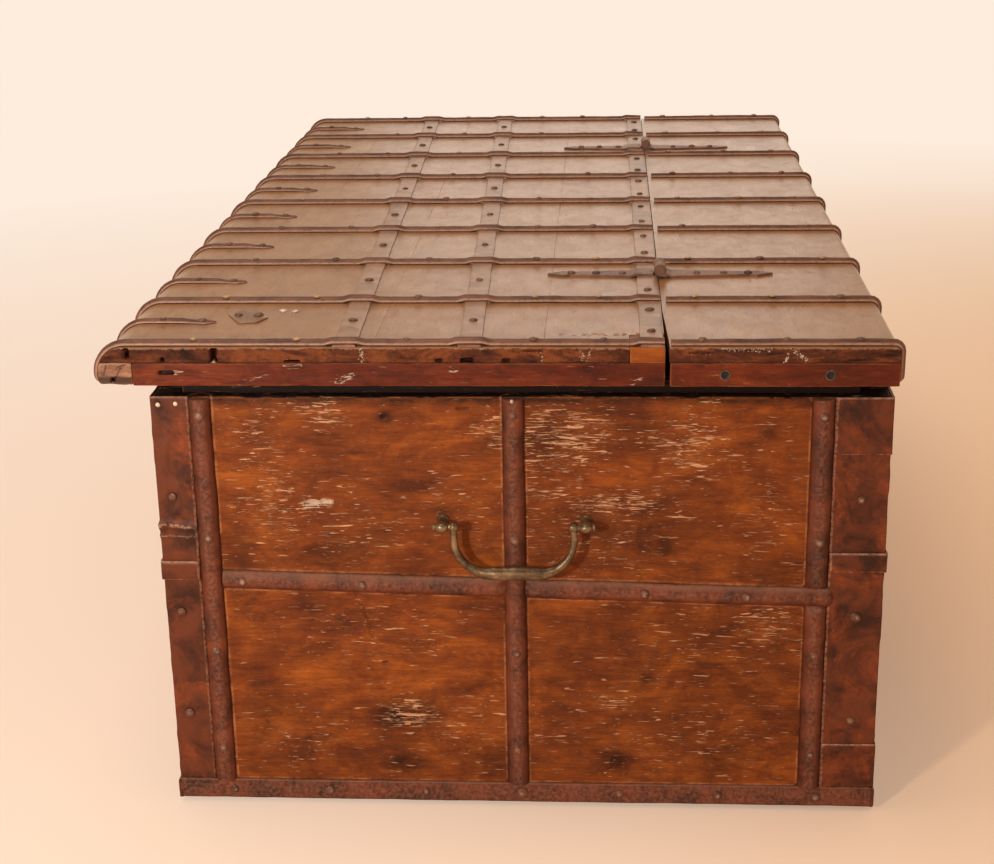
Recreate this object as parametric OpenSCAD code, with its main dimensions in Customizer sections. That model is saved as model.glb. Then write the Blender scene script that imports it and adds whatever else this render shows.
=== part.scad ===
// Iron-bound plank chest with a two-part lid: a wide front flap hinged on a fixed rear deck.
// Millimetres. X runs along the chest, Y from front to back, Z up from the floor.

/* [Case] */
// Length of the case over its end walls
case_l = 1312; // [1150:1:1450]
// Depth of the case over its front and back walls
case_w = 700; // [640:1:780]
// Height of the walls, from their lower edge to the outer top edge
wall_h = 432; // [400:1:480]
// Thickness of the wall planks
wall_t = 28; // [26:1:32]
// How far the bottom boards stand below the walls
base_drop = 5; // [3:1:8]
// How far the bottom boards are set in from the outer faces
base_inset = 12; // [8:1:14]
// Thickness of the bottom boards
bottom_t = 22; // [18:1:26]
// Number of bottom boards
bottom_count = 3; // [3:2:5]
// Height of the inner lip that the lid closes on
lip_h = 12; // [8:1:16]
// Thickness of that lip
lip_t = 14; // [10:1:18]
// Number of interlocking fingers at each corner
finger_count = 7; // [5:2:9]

/* [Lid] */
// How far the lid stands past each end wall
lid_end_reach = 7; // [4:1:12]
// Thickness of the deck planks
plank_t = 15; // [12:1:18]
// Depth of the rails under the planks
rail_h = 23; // [18:1:30]
// Width of the rails
rail_w = 40; // [34:1:46]
// Gap between neighbouring planks
plank_gap = 0.6; // [0.3:0.1:1.5]
// Front-to-back size of the fixed rear deck
rear_deck_w = 212; // [200:1:240]
// How far the rear deck stands past the back wall
lid_back_reach = 5; // [3:1:10]
// Gap between the flap and the rear deck
split_gap = 4.5; // [3.5:0.5:6]
// Clearance between the closed flap and the lip
seat_gap = 0.3; // [0.2:0.1:1]
// How far the nosing stands in front of the case
nose_reach = 48; // [44:1:56]
// Thickness of the nosing, front to back
nose_t = 34; // [28:1:38]
// Radius over the flap's front edge
nose_r = 27; // [24:1:30]
// Rounding under the nosing
nose_under_r = 6; // [3:1:8]
// Rounding of the rear deck's back edge
back_edge_r = 6; // [4:1:10]
// Length of the block let into the flap's right hinge corner
mend_l = 44; // [30:1:48]
// Width of that block
mend_w = 33; // [24:1:36]

/* [Lid straps] */
// Distance between the straps that cross the lid
strap_pitch = 165; // [155:1:175]
// Number of those straps, the two at the ends included
strap_count = 9; // [7:2:9]
// Distance of an end strap from the end of the lid
end_strap_inset = 11; // [9:1:20]
// Width of a crossing strap
cross_w = 12; // [9:1:15]
// Height of a crossing strap
cross_h = 5.5; // [4.5:0.5:7]
// Width of the flat straps that run along the lid
long_w = 22; // [18:1:26]
// Thickness of those flat straps
long_t = 2; // [1.5:0.5:3]
// Slant of the two inner flat straps, in degrees
long_slant = 1.6; // [0:0.1:2]
// Distance of the first flat strap from the case front, at mid length
front_long_d = 170; // [155:1:185]
// Distance of the second flat strap from the case front, at mid length
middle_long_d = 288; // [275:1:300]
// How far the short straps run in from the case front
short_reach = 50; // [40:1:60]

/* [Case straps] */
// Width of the half-round uprights
upright_w = 21; // [18:1:24]
// Height of the half-round uprights and bands above the wood
upright_h = 7; // [5.5:0.5:8]
// Distance of the front upright's middle from the case's front edge
front_upright_d = 47; // [42:1:55]
// Distance of the back upright's middle from the case's back edge
back_upright_d = 63; // [56:1:70]
// Offset of the middle upright and the handle towards the front
middle_shift = 4; // [0:1:10]
// Width of the bands at mid height
band_w = 19.5; // [17:0.5:22]
// Height of the front mid band's middle above the floor
front_band_z = 258; // [245:1:265]
// Height of the back mid band's middle above the floor
back_band_z = 271; // [266:1:285]
// Height of the end bands' middle above the floor
end_band_z = 241; // [235:1:245]
// Fall of the end bands towards the back, in degrees
band_slant = 1.45; // [0:0.05:2]
// Thickness left where one strap passes under another
lap_t = 2.4; // [2:0.1:3]
// Width of the band round the foot of the case
foot_band_w = 21; // [18:1:26]
// Thickness of that band
foot_band_t = 3; // [2:0.5:4]
// Distance between the uprights on the front and back
face_pitch = 330; // [300:1:350]
// Thickness of the sheet iron at the corners
sheet_t = 1.5; // [1:0.1:2]
// Reach of the corner iron on the front and back faces
corner_reach = 48; // [40:1:60]
// Thickness of the clips and plates over the corner irons
clip_t = 2; // [1.5:0.1:2.6]
// Height of the plate at the top of each back corner
top_plate_h = 56; // [48:1:64]
// Height of the plate at the foot of each back corner
foot_plate_h = 49; // [40:1:60]

/* [Hinges] */
// Distance of each hinge from the middle of the lid
hinge_x = 385; // [378:1:400]
// Radius of the hinge knuckle
knuckle_r = 6.5; // [6:0.1:7]
// Radius of the hinge pin
hinge_pin_r = 3; // [2.5:0.1:3.3]
// Length of the flap's knuckle
knuckle_l = 12; // [10:1:14]
// Length of each of the deck's two knuckles
side_knuckle_l = 9; // [7:1:10]
// Height of the hinge axis above the deck
hinge_rise = 9; // [8.8:0.1:10]
// Length of a hinge leaf from the axis to its point
leaf_l = 120; // [105:1:130]
// Width of a hinge leaf at the knuckle
leaf_w = 29; // [27:1:32]
// Thickness of a hinge leaf
leaf_t = 2.5; // [2:0.1:3]

/* [Handles] */
// Distance between the two legs of a bail
bail_w = 115; // [105:1:130]
// Drop from the pivot to the middle of the grip
bail_drop = 48; // [44:1:54]
// Radius of the bail's corners
bail_corner_r = 34; // [28:1:38]
// Radius of the bail's legs
bail_leg_r = 3.3; // [3:0.1:3.6]
// Radius in the middle of the grip
bail_grip_r = 6.8; // [5:0.1:7.2]
// Radius of the turned-out ends of the bail
bail_pin_r = 2.8; // [2.4:0.1:3]
// Height of the pivot above the floor
bail_z = 312; // [305:1:325]
// Distance of the pivot from the end wall
post_reach = 18; // [17:0.5:22]
// Radius of the ball on a post
post_ball_r = 7; // [6.5:0.1:7.5]
// Distance from a leg's middle to its post's middle
post_offset = 11.5; // [11:0.1:13]

/* [Hasp] */
// Length of the hasp below its pin
hasp_l = 135; // [125:1:150]
// Width of the hasp
hasp_w = 30; // [28:1:34]
// Thickness of the hasp
hasp_t = 3.5; // [3:0.1:4]
// Distance of the slot's middle below the pin
slot_mid = 102; // [95:1:105]
// Length of the slot
slot_l = 34; // [32:1:38]
// Width of the slot
slot_w = 10; // [9:0.5:12]
// Angle that the hasp swings in to close over its staple, in degrees
hasp_close = 16; // [15:0.5:16.5]
// Radius of the hasp's knuckles
hasp_knuckle_r = 5; // [4.5:0.1:5.2]
// Radius of the hasp's pin
hasp_pin_r = 2.4; // [2:0.1:2.6]
// Radius of the staple's wire
staple_r = 2.5; // [2:0.1:3]
// Distance between the staple's legs
staple_pitch = 16; // [14:0.5:17]
// How far the staple stands in front of the case
staple_reach = 26; // [24:0.5:28]

/* [Nails] */
// Radius of a nail head
head_r = 4.5; // [3.5:0.1:5]
// Height of a nail head
head_h = 2.4; // [1.8:0.1:3]
// Radius of a nail shank
shank_r = 1.5; // [1.2:0.1:1.8]
// Length of the nails in the lid, below the head
lid_nail_l = 14; // [11:1:15]
// Length of the nails in the case walls, below the head
wall_nail_l = 26; // [20:1:28]
// Depth of the flat filed on a rounded strap under a nail head
nail_flat = 0.9; // [0.8:0.1:1.2]
// Heights of an upright's nails above the walls' lower edge, and the top one's distance below their top
upright_nail_low = 60; // [45:1:80]
upright_nail_mid = 168; // [150:1:190]
upright_nail_high = 288; // [284:1:310]
upright_nail_drop = 18; // [14:1:30]
// Heights of the corner irons' nails above the walls' lower edge
corner_nail_low = 96; // [86:1:110]
corner_nail_mid = 208; // [190:1:226]
corner_nail_high = 330; // [310:1:350]
// Distance of those nails from the front, back and end edges
corner_nail_front = 14; // [10:1:18]
corner_nail_back = 24; // [16:1:30]
corner_nail_end = 30; // [24:1:36]
// Distance of a foot band's first nail from its end
foot_nail_inset = 55; // [45:1:70]
// Distances of a crossing strap's nails from the case front and from the flat straps
cross_nail_front = 45; // [35:1:55]
cross_nail_before = 45; // [35:1:60]
cross_nail_after = 60; // [45:1:75]
cross_nail_last = 125; // [110:1:140]
// Clearance between a nail or pin and its hole
fit_gap = 0.08; // [0.05:0.01:0.1]

/* [Hidden] */
$fn = 48;
eps = 0.01;
touch = 0.05;

front_y = -case_w / 2;
back_y = case_w / 2;
end_x = case_l / 2;
wall_top = base_drop + wall_h;
lip_top = wall_top + lip_h;
deck_z = lip_top + rail_h;
deck_top = deck_z + plank_t;
flap_z = lip_top + seat_gap;

lid_l = case_l + 2 * lid_end_reach;
lid_x = lid_l / 2;
deck_back = back_y + lid_back_reach;
deck_front = deck_back - rear_deck_w;
flap_back = deck_front - split_gap;
nose_front = front_y - nose_reach;
nose_back = nose_front + nose_t;
nose_cy = nose_front + nose_r;
nose_cz = deck_top - nose_r;
hinge_y = deck_front - split_gap / 2;
hinge_z = deck_top + hinge_rise;

plank_shares = [0, 0.193, 0.458, 0.776, 1];
plank_count = len(plank_shares) - 1;
first_joint = front_y - nose_t / 2;

inner_straps = (strap_count - 3) / 2;
cross_x = [
    -lid_x + end_strap_inset,
    for (i = [-inner_straps : inner_straps]) i * strap_pitch,
    lid_x - end_strap_inset
];
short_x = [for (i = [0 : strap_count - 2]) (cross_x[i] + cross_x[i + 1]) / 2];
edge_strap_front = flap_back - 1 - long_w;
ramp = 6;
strap_end_z = flap_z + 3;

face_x = [for (i = [-1.5 : 1 : 1.5]) i * face_pitch];
end_upright_y = [front_y + front_upright_d, -middle_shift, back_y - back_upright_d];
foot_band_top = base_drop + foot_band_w;
bail_y = -middle_shift;
bail_x = end_x + post_reach;

hasp_y = front_y - nose_reach + 6;
hasp_z = flap_z - hasp_knuckle_r - 0.5;
staple_z = hasp_z - slot_mid * cos(hasp_close);

timber = [0.45, 0.22, 0.10];
timber_red = [0.46, 0.16, 0.09];
timber_grey = [0.42, 0.33, 0.26];
iron = [0.30, 0.20, 0.16];
bail_iron = [0.36, 0.33, 0.26];
brassy = [0.45, 0.33, 0.16];

// Placing things on the faces: X is along the face, Y is up and Z is out of it
module on_right_end() translate([end_x, 0, 0]) rotate([90, 0, 90]) children();
module on_left_end() mirror([1, 0, 0]) on_right_end() children();
module on_front() translate([0, front_y, 0]) rotate([90, 0, 0]) children();
module on_back() mirror([0, 1, 0]) on_front() children();
module both_ends() {
    children();
    mirror([1, 0, 0]) children();
}

// A box between two corners
module block(low, high) translate(low) cube(high - low);

// Nails
module nail(length) {
    cap_r = (head_r * head_r + head_h * head_h) / (2 * head_h);
    rotate_extrude()
        intersection() {
            translate([0, head_h - cap_r]) circle(cap_r);
            square([head_r, head_h]);
        }
    translate([0, 0, -length]) cylinder(r = shank_r, h = length + eps);
}

// The hole for a nail, with a flat seat for its head
module nail_hole(length) {
    cylinder(r = head_r + 0.3, h = 12);
    translate([0, 0, -length - 0.5]) cylinder(r = shank_r + fit_gap, h = length + 1);
}

module at_sites(sites) for (site = sites) translate(site) children();

// A half-round iron bar's section
module half_round(w, h) {
    r = (w * w / 4 + h * h) / (2 * h);
    intersection() {
        translate([0, h - r]) circle(r, $fn = 96);
        translate([-w / 2, 0]) square([w, h]);
    }
}
module standing_bar(x, low, high, w, h)
    translate([x, high, 0]) rotate([90, 0, 0]) linear_extrude(high - low) half_round(w, h);
module lying_bar(left, right, z, w, h)
    translate([left, z, 0]) rotate([90, 0, 90]) linear_extrude(right - left) half_round(w, h);

// A skin over equal rings of points, closed at both ends
module loft(rings) {
    n = len(rings[0]);
    last = (len(rings) - 1) * n;
    sides = [
        for (i = [0 : len(rings) - 2]) for (j = [0 : n - 1])
            let (a = i * n + j, b = i * n + (j + 1) % n)
                each [[a, a + n, b + n], [a, b + n, b]]
    ];
    start = [for (j = [1 : n - 2]) [0, j, j + 1]];
    end = [for (j = [1 : n - 2]) [last, last + j + 1, last + j]];
    polyhedron([for (ring = rings) each ring], concat(sides, start, end));
}

// Stations of a strap that lies on the lid: [y, z, normal y, normal z, width, height]
arc_steps = 8;
function flat_station(y, rise, w, h) = [y, deck_top + rise + touch, 0, 1, w, h];
function arc_stations(cy, cz, r, from, to, w, h) = [
    for (i = [0 : arc_steps])
        let (a = from + (to - from) * i / arc_steps,
             base = (r + touch) / cos((to - from) / arc_steps / 2))
            [cy + base * cos(a), cz + base * sin(a), cos(a), sin(a), w, h]
];
function nose_stations(w, h) = concat(
    arc_stations(nose_cy, nose_cz, nose_r, 90, 180, w, h),
    [[nose_front - 0.3, (nose_cz + strap_end_z) / 2, -1, 0, w, h],
     [nose_front - 0.3, strap_end_z, -1, 0, w * 0.8, h * 0.6]]
);
// The rise over a flat strap whose middle is at y, met from behind
function hump(y, w, h) = [
    flat_station(y + long_w / 2 + ramp + 1, 0, w, h),
    flat_station(y + long_w / 2 + 1, long_t, w * 1.06, h),
    flat_station(y - long_w / 2 - 1, long_t, w * 1.06, h),
    flat_station(y - long_w / 2 - ramp - 1, 0, w, h)
];

section_steps = 6;
function strap_ring(x, s) = [
    for (k = [0 : section_steps])
        let (a = 180 * k / section_steps, across = s[4] / 2 * cos(a), up = s[5] * sin(a))
            [x + across, s[0] + up * s[2], s[1] + up * s[3]]
];
module lid_strap(x, stations) loft([for (s = stations) strap_ring(x, s)]);

function front_long_y(x) = front_y + front_long_d + x * tan(long_slant);
function middle_long_y(x) = front_y + middle_long_d + x * tan(long_slant);

// Width and height of a short strap at a distance from its point
short_w_at = [[0, 2], [9, 15], [20, 13], [32, 10], [200, 10]];
short_h_at = [[0, 1.4], [9, 2.4], [20, 2.8], [32, 4.6], [200, 4.6]];
function short_width(d) = lookup(d, short_w_at);
function short_height(d) = lookup(d, short_h_at);

// Where the nails go: [x, y, z of the head's underside]
ridge_z = deck_top + cross_h - nail_flat + touch;
function cross_nails(x) = [
    for (y = [
        front_y + cross_nail_front,
        front_long_y(x) - cross_nail_before,
        (front_long_y(x) + middle_long_y(x)) / 2,
        middle_long_y(x) + cross_nail_after,
        middle_long_y(x) + cross_nail_last
    ]) [x, y, ridge_z]
];
flap_cross_sites = [for (x = cross_x) each cross_nails(x)];
short_nail_d = [14, 52];
short_sites = [
    for (x = short_x) for (d = short_nail_d)
        [x, front_y + short_reach - d, deck_top + short_height(d) - nail_flat]
];
long_sites = [
    for (x = short_x) for (y = [front_long_y(x), middle_long_y(x)]) [x, y, deck_top + long_t]
];
edge_nail_y = edge_strap_front + long_w / 2;
edge_sites = [
    for (x = cross_x) for (side = [-1, 1])
        let (at = x + side * strap_pitch * 0.24)
            if (abs(at) < lid_x - head_r && abs(abs(at) - hinge_x) > leaf_w / 2 + head_r + 1)
                [at, edge_nail_y, deck_top + long_t]
];
patch_x = lid_x - 112;
patch_y = front_y + short_reach + 28;
patch_sites = [for (side = [-1, 1]) [patch_x, patch_y + side * 10, deck_top + sheet_t]];
leaf_nail_d = [40, 68, 94];
flap_leaf_sites = [
    for (x = [-hinge_x, hinge_x]) for (d = leaf_nail_d) [x, hinge_y - d, deck_top + leaf_t]
];
flap_sites = concat(
    flap_cross_sites, short_sites, long_sites, edge_sites, patch_sites, flap_leaf_sites
);

rear_nail_d = [30, 108, 176];
rear_cross_sites = [for (x = cross_x) for (d = rear_nail_d) [x, deck_front + d, ridge_z]];
rear_leaf_sites = [
    for (x = [-hinge_x, hinge_x]) for (d = leaf_nail_d) [x, hinge_y + d, deck_top + leaf_t]
];
rear_sites = concat(rear_cross_sites, rear_leaf_sites);

// Nails in the faces: [along the face, height, out of the face]
bar_out = upright_h - nail_flat;
upright_nail_z = [
    base_drop + upright_nail_low, base_drop + upright_nail_mid, base_drop + upright_nail_high,
    wall_top - upright_nail_drop
];
end_band_nail_y = [front_y + 78, front_y + 196, back_y - 228, back_y - 130];
foot_nails = 7;
foot_nail_z = base_drop + foot_band_w / 2;
function end_band_mid(y) = end_band_z - (y + middle_shift) * tan(band_slant);
corner_nail_z = [
    for (h = [corner_nail_low, corner_nail_mid, corner_nail_high]) base_drop + h
];
foot_nail_run = case_w - 2 * foot_nail_inset;
end_sites = concat(
    [for (y = end_upright_y) for (z = upright_nail_z) [y, z, bar_out]],
    [for (y = end_band_nail_y) [y, end_band_mid(y), bar_out]],
    [for (i = [0 : foot_nails - 1])
        [front_y + foot_nail_inset + i * foot_nail_run / (foot_nails - 1), foot_nail_z, foot_band_t]],
    [for (z = corner_nail_z) for (y = [front_y + corner_nail_front, back_y - corner_nail_back])
        [y, z, sheet_t]]
);
face_foot_nails = 11;
face_band_x = [for (i = [-3 : 3]) i * face_pitch / 2 + (i == 0 ? 0 : face_pitch / 4 * sign(i))];
face_foot_run = case_l - 2 * foot_nail_inset;
face_foot_sites = [
    for (i = [0 : face_foot_nails - 1])
        [-end_x + foot_nail_inset + i * face_foot_run / (face_foot_nails - 1), foot_nail_z, foot_band_t]
];
function face_sites(band_z) = concat(
    [for (x = face_x) for (z = upright_nail_z) [x, z, bar_out]],
    [for (x = face_band_x) if (abs(x) < end_x - corner_reach - 12) [x, band_z, bar_out]],
    face_foot_sites,
    [for (z = corner_nail_z) for (side = [-1, 1]) [side * (end_x - corner_nail_end), z, sheet_t]]
);

// The wooden case
module floor_envelope(gap)
    block([-end_x + base_inset - gap, front_y + base_inset - gap, -1],
          [end_x - base_inset + gap, back_y - base_inset + gap, bottom_t]);

// One corner's share of fingers, at the given corner
module fingers(side_x, side_y, parity) {
    finger_h = wall_h / finger_count;
    low_x = side_x > 0 ? end_x - wall_t : -end_x - 1;
    low_y = side_y > 0 ? back_y - wall_t : front_y - 1;
    for (i = [0 : finger_count - 1])
        if (i % 2 == parity)
            translate([low_x, low_y, base_drop + i * finger_h])
                cube([wall_t + 1, wall_t + 1, finger_h]);
}

module handle_holes()
    both_ends()
        for (side = [-1, 1])
            translate([end_x - wall_t - 1, bail_y + side * (bail_w / 2 + post_offset), bail_z])
                rotate([0, 90, 0])
                    cylinder(r = post_shank_r + fit_gap, h = wall_t + 2);

module staple_holes()
    for (side = [-1, 1])
        translate([0, front_y - 1, staple_z + side * staple_pitch / 2])
            rotate([-90, 0, 0])
                cylinder(r = staple_r + fit_gap, h = wall_t + 2);

module front_wall() color(timber) difference() {
    union() {
        block([-end_x, front_y, base_drop], [end_x, front_y + wall_t, wall_top]);
        block([-end_x + wall_t - lip_t, front_y + wall_t - lip_t, wall_top - eps],
              [end_x - wall_t + lip_t, front_y + wall_t, lip_top]);
    }
    floor_envelope(0.4);
    for (side = [-1, 1]) fingers(side, -1, 1);
    staple_holes();
    on_front() at_sites(face_sites(front_band_z)) nail_hole(wall_nail_l);
}

module back_wall() color(timber) difference() {
    union() {
        block([-end_x, back_y - wall_t, base_drop], [end_x, back_y, wall_top]);
        block([-end_x, back_y - wall_t, wall_top - eps], [end_x, back_y, lip_top]);
    }
    floor_envelope(0.4);
    for (side = [-1, 1]) fingers(side, 1, 1);
    on_back() at_sites(face_sites(back_band_z)) nail_hole(wall_nail_l);
}

module right_end_wall() color(timber) difference() {
    union() {
        block([end_x - wall_t, front_y, base_drop], [end_x, back_y, wall_top]);
        block([end_x - wall_t, front_y + wall_t, wall_top - eps],
              [end_x - wall_t + lip_t, back_y - wall_t, lip_top]);
    }
    floor_envelope(0.4);
    for (side = [-1, 1]) fingers(1, side, 0);
    handle_holes();
    on_right_end() at_sites(end_sites) nail_hole(wall_nail_l);
}
module left_end_wall() mirror([1, 0, 0]) right_end_wall();

module bottom_boards() color(timber) difference() {
    inner_w = case_w - 2 * base_inset;
    board_w = inner_w / bottom_count;
    for (i = [0 : bottom_count - 1])
        block([-end_x + base_inset, -inner_w / 2 + i * board_w + plank_gap / 2, 0],
              [end_x - base_inset, -inner_w / 2 + (i + 1) * board_w - plank_gap / 2, bottom_t]);
    wall_nail_holes();
}

// The fixed rear deck
module rear_deck_plank() color(timber) difference() {
    translate([-lid_x, 0, 0]) rotate([90, 0, 90]) linear_extrude(lid_l) {
        translate([deck_front, deck_z]) square([rear_deck_w - back_edge_r, plank_t]);
        translate([deck_front, deck_z]) square([rear_deck_w, plank_t - back_edge_r]);
        translate([deck_back - back_edge_r, deck_top - back_edge_r]) circle(back_edge_r);
    }
    at_sites(rear_sites) nail_hole(lid_nail_l);
}

rail_bolt_d = [51, 148];
rail_bolt_l = 34;
bolt_head_r = 5;
bolt_head_h = 1.5;
bolt_r = 3.5;
module rail_bolt_sites()
    both_ends()
        for (d = rail_bolt_d)
            translate([lid_x, deck_front + d, lip_top + rail_h / 2]) rotate([0, 90, 0]) children();

module rear_end_rails() color(timber_red) difference() {
    both_ends() block([lid_x - rail_w, deck_front, lip_top], [lid_x, deck_back, deck_z]);
    rail_bolt_sites() {
        translate([0, 0, -rail_bolt_l - 0.5]) cylinder(r = bolt_r + fit_gap, h = rail_bolt_l + 1);
        translate([0, 0, -bolt_head_h]) cylinder(r = bolt_head_r + 0.2, h = bolt_head_h + 1);
    }
}

module rear_long_rails() color(timber) {
    inner_x = lid_x - rail_w;
    block([-inner_x, deck_front, lip_top], [inner_x, deck_front + rail_w, deck_z]);
    block([-inner_x, back_y - wall_t, lip_top], [inner_x, deck_back, deck_z]);
}

module rail_bolts() color(iron)
    rail_bolt_sites() {
        translate([0, 0, -rail_bolt_l]) cylinder(r = bolt_r, h = rail_bolt_l);
        translate([0, 0, -bolt_head_h]) cylinder(r = bolt_head_r, h = bolt_head_h + 0.5);
    }

// A sheet bent round one vertical corner, lying at the given height off the wood
module corner_sheet(side_x, side_y, end_reach, face_reach, off, t, low, high)
    mirror([side_x < 0 ? 1 : 0, 0, 0]) mirror([0, side_y < 0 ? 1 : 0, 0])
        translate([end_x, case_w / 2, low])
            linear_extrude(high - low)
                polygon([
                    [off, -end_reach], [off + t, -end_reach], [off + t, off + t],
                    [-face_reach, off + t], [-face_reach, off], [off, off]
                ]);

function iron_reach(side_y) =
    (side_y < 0 ? front_upright_d : back_upright_d) - upright_w / 2 - 0.3;
module corner_iron(side_x, side_y) color(iron) difference() {
    corner_sheet(side_x, side_y, iron_reach(side_y), corner_reach, touch, sheet_t - touch,
                 foot_band_top + 0.2, wall_top);
    wall_nail_holes();
}
module wall_nail_holes() {
    on_right_end() at_sites(end_sites) nail_hole(wall_nail_l);
    on_left_end() at_sites(end_sites) nail_hole(wall_nail_l);
    on_front() at_sites(face_sites(front_band_z)) nail_hole(wall_nail_l);
    on_back() at_sites(face_sites(back_band_z)) nail_hole(wall_nail_l);
}

// Flat clips that carry the mid bands round the corners
module corner_clips() color(iron)
    for (side_x = [-1, 1]) for (side_y = [-1, 1]) {
        mid = side_y < 0 ? front_band_z : back_band_z;
        corner_sheet(side_x, side_y, iron_reach(side_y) - 0.5, corner_reach, sheet_t, clip_t,
                     mid - band_w / 2, mid + band_w / 2);
    }

// Plates over the head and the foot of each back corner
module corner_plates() color(iron)
    for (side_x = [-1, 1]) {
        corner_sheet(side_x, 1, iron_reach(1) - 0.5, corner_reach - 4, sheet_t, clip_t / 2,
                     wall_top - top_plate_h, wall_top);
        corner_sheet(side_x, 1, iron_reach(1) - 0.5, corner_reach - 4, sheet_t, clip_t / 2,
                     foot_band_top + 0.2, foot_band_top + foot_plate_h);
    }

// The band round the foot of the case, in four lengths
module foot_band_face() difference() {
    block([-end_x - foot_band_t, base_drop, touch], [end_x + foot_band_t, foot_band_top, foot_band_t]);
    at_sites(face_foot_sites) nail_hole(wall_nail_l);
}
module foot_band_end() difference() {
    block([front_y + 0.1, base_drop, touch], [back_y - 0.1, foot_band_top, foot_band_t]);
    at_sites(end_sites) nail_hole(wall_nail_l);
}
module front_foot_band() color(iron) on_front() foot_band_face();
module back_foot_band() color(iron) on_back() foot_band_face();
module end_foot_bands() color(iron) {
    on_right_end() foot_band_end();
    on_left_end() foot_band_end();
}

// Half-round bands at mid height: where two irons cross, the lower one thins down
// and the upper one is hollowed
half_lap = upright_w / 2 + 0.2;
module top_room(x, z) block([x - half_lap, z - 60, lap_t], [x + half_lap, z + 60, 20]);
module under_room(x, z) block([x - half_lap, z - 60, -1], [x + half_lap, z + 60, lap_t + touch]);
module end_band_place()
    translate([-middle_shift, end_band_z, 0]) rotate([0, 0, -band_slant])
        translate([middle_shift, -end_band_z, 0]) children();
end_band_from = end_upright_y[0] + upright_w / 2 + 1;
end_band_to = end_upright_y[2] + upright_w / 2 + 4;
module end_mid_band() difference() {
    end_band_place()
        translate([0, 0, touch])
            lying_bar(end_band_from, end_band_to, end_band_z, band_w, upright_h - touch);
    top_room(end_upright_y[1], end_band_z);
    under_room(end_upright_y[2], end_band_z);
    block([end_upright_y[2] + half_lap - eps, end_band_z - 60, -1],
          [back_y, end_band_z + 60, sheet_t]);
    at_sites(end_sites) nail_hole(wall_nail_l);
}
module right_mid_band() color(iron) on_right_end() end_mid_band();
module left_mid_band() color(iron) on_left_end() end_mid_band();

face_band_to = end_x - corner_reach - 1;
module face_mid_band(z) difference() {
    translate([0, 0, touch]) lying_bar(-face_band_to, face_band_to, z, band_w, upright_h - touch);
    for (x = face_x) top_room(x, z);
    at_sites(face_sites(z)) nail_hole(wall_nail_l);
}
module front_mid_band() color(iron) on_front() face_mid_band(front_band_z);
module back_mid_band() color(iron) on_back() face_mid_band(back_band_z);

// Half-round uprights: the end band passes under the middle one and over the back one
module end_band_strip(left, right, low, high)
    end_band_place()
        block([left, end_band_z - band_w / 2 - 0.3, low], [right, end_band_z + band_w / 2 + 0.3, high]);
module end_uprights() difference() {
    for (y = end_upright_y)
        translate([0, 0, touch])
            standing_bar(y, foot_band_top + 0.2, wall_top - 2, upright_w, upright_h - touch);
    end_band_strip(end_band_from - 1, end_upright_y[1] + 2 * upright_w, -1, lap_t + touch);
    end_band_strip(end_upright_y[2] - upright_w, end_upright_y[2] + upright_w, lap_t, 20);
    at_sites(end_sites) nail_hole(wall_nail_l);
}
module right_end_uprights() color(iron) on_right_end() end_uprights();
module left_end_uprights() color(iron) on_left_end() end_uprights();

module face_uprights(z) difference() {
    for (x = face_x)
        translate([0, 0, touch])
            standing_bar(x, foot_band_top + 0.2, wall_top - 2, upright_w, upright_h - touch);
    block([-face_band_to - 1, z - band_w / 2 - 0.5, -1],
          [face_band_to + 1, z + band_w / 2 + 0.5, lap_t + touch]);
    at_sites(face_sites(z)) nail_hole(wall_nail_l);
}
module front_uprights() color(iron) on_front() face_uprights(front_band_z);
module back_uprights() color(iron) on_back() face_uprights(back_band_z);

module right_end_nails() color(iron) on_right_end() at_sites(end_sites) nail(wall_nail_l);
module left_end_nails() color(iron) on_left_end() at_sites(end_sites) nail(wall_nail_l);
module front_nails() color(iron) on_front() at_sites(face_sites(front_band_z)) nail(wall_nail_l);
module back_nails() color(iron) on_back() at_sites(face_sites(back_band_z)) nail(wall_nail_l);

// Handle posts: a ball on a shank through the wall, riveted over a washer inside
post_shank_r = 4;
post_collar_r = 6.5;
post_collar_t = 2;
washer_r = 9;
washer_t = 2;
module handle_posts()
    for (side = [-1, 1])
        translate([0, bail_y + side * (bail_w / 2 + post_offset), bail_z]) {
            difference() {
                rotate([0, 90, 0]) union() {
                    translate([0, 0, bail_x]) sphere(post_ball_r);
                    translate([0, 0, end_x - wall_t - washer_t - 1])
                        cylinder(r = post_shank_r, h = wall_t + washer_t + 1 + post_reach);
                    translate([0, 0, end_x + touch]) cylinder(r = post_collar_r, h = post_collar_t);
                }
                translate([bail_x, 0, 0]) rotate([90, 0, 0])
                    cylinder(r = bail_pin_r + fit_gap, h = 4 * post_ball_r, center = true);
            }
            translate([end_x - wall_t - washer_t, 0, 0]) rotate([0, 90, 0]) difference() {
                cylinder(r = washer_r, h = washer_t - touch);
                translate([0, 0, -1]) cylinder(r = post_shank_r + fit_gap, h = washer_t + 2);
            }
        }
module right_handle_posts() color(bail_iron) handle_posts();
module left_handle_posts() color(bail_iron) mirror([1, 0, 0]) handle_posts();

// Bail: a U whose radius swells towards the middle of the grip
bail_sides = 12;
corner_steps = 8;
grip_steps = 6;
bail_hub_r = 4.6;
bail_hub_l = 6;
grip_half = bail_w / 2 - bail_corner_r;
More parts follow.
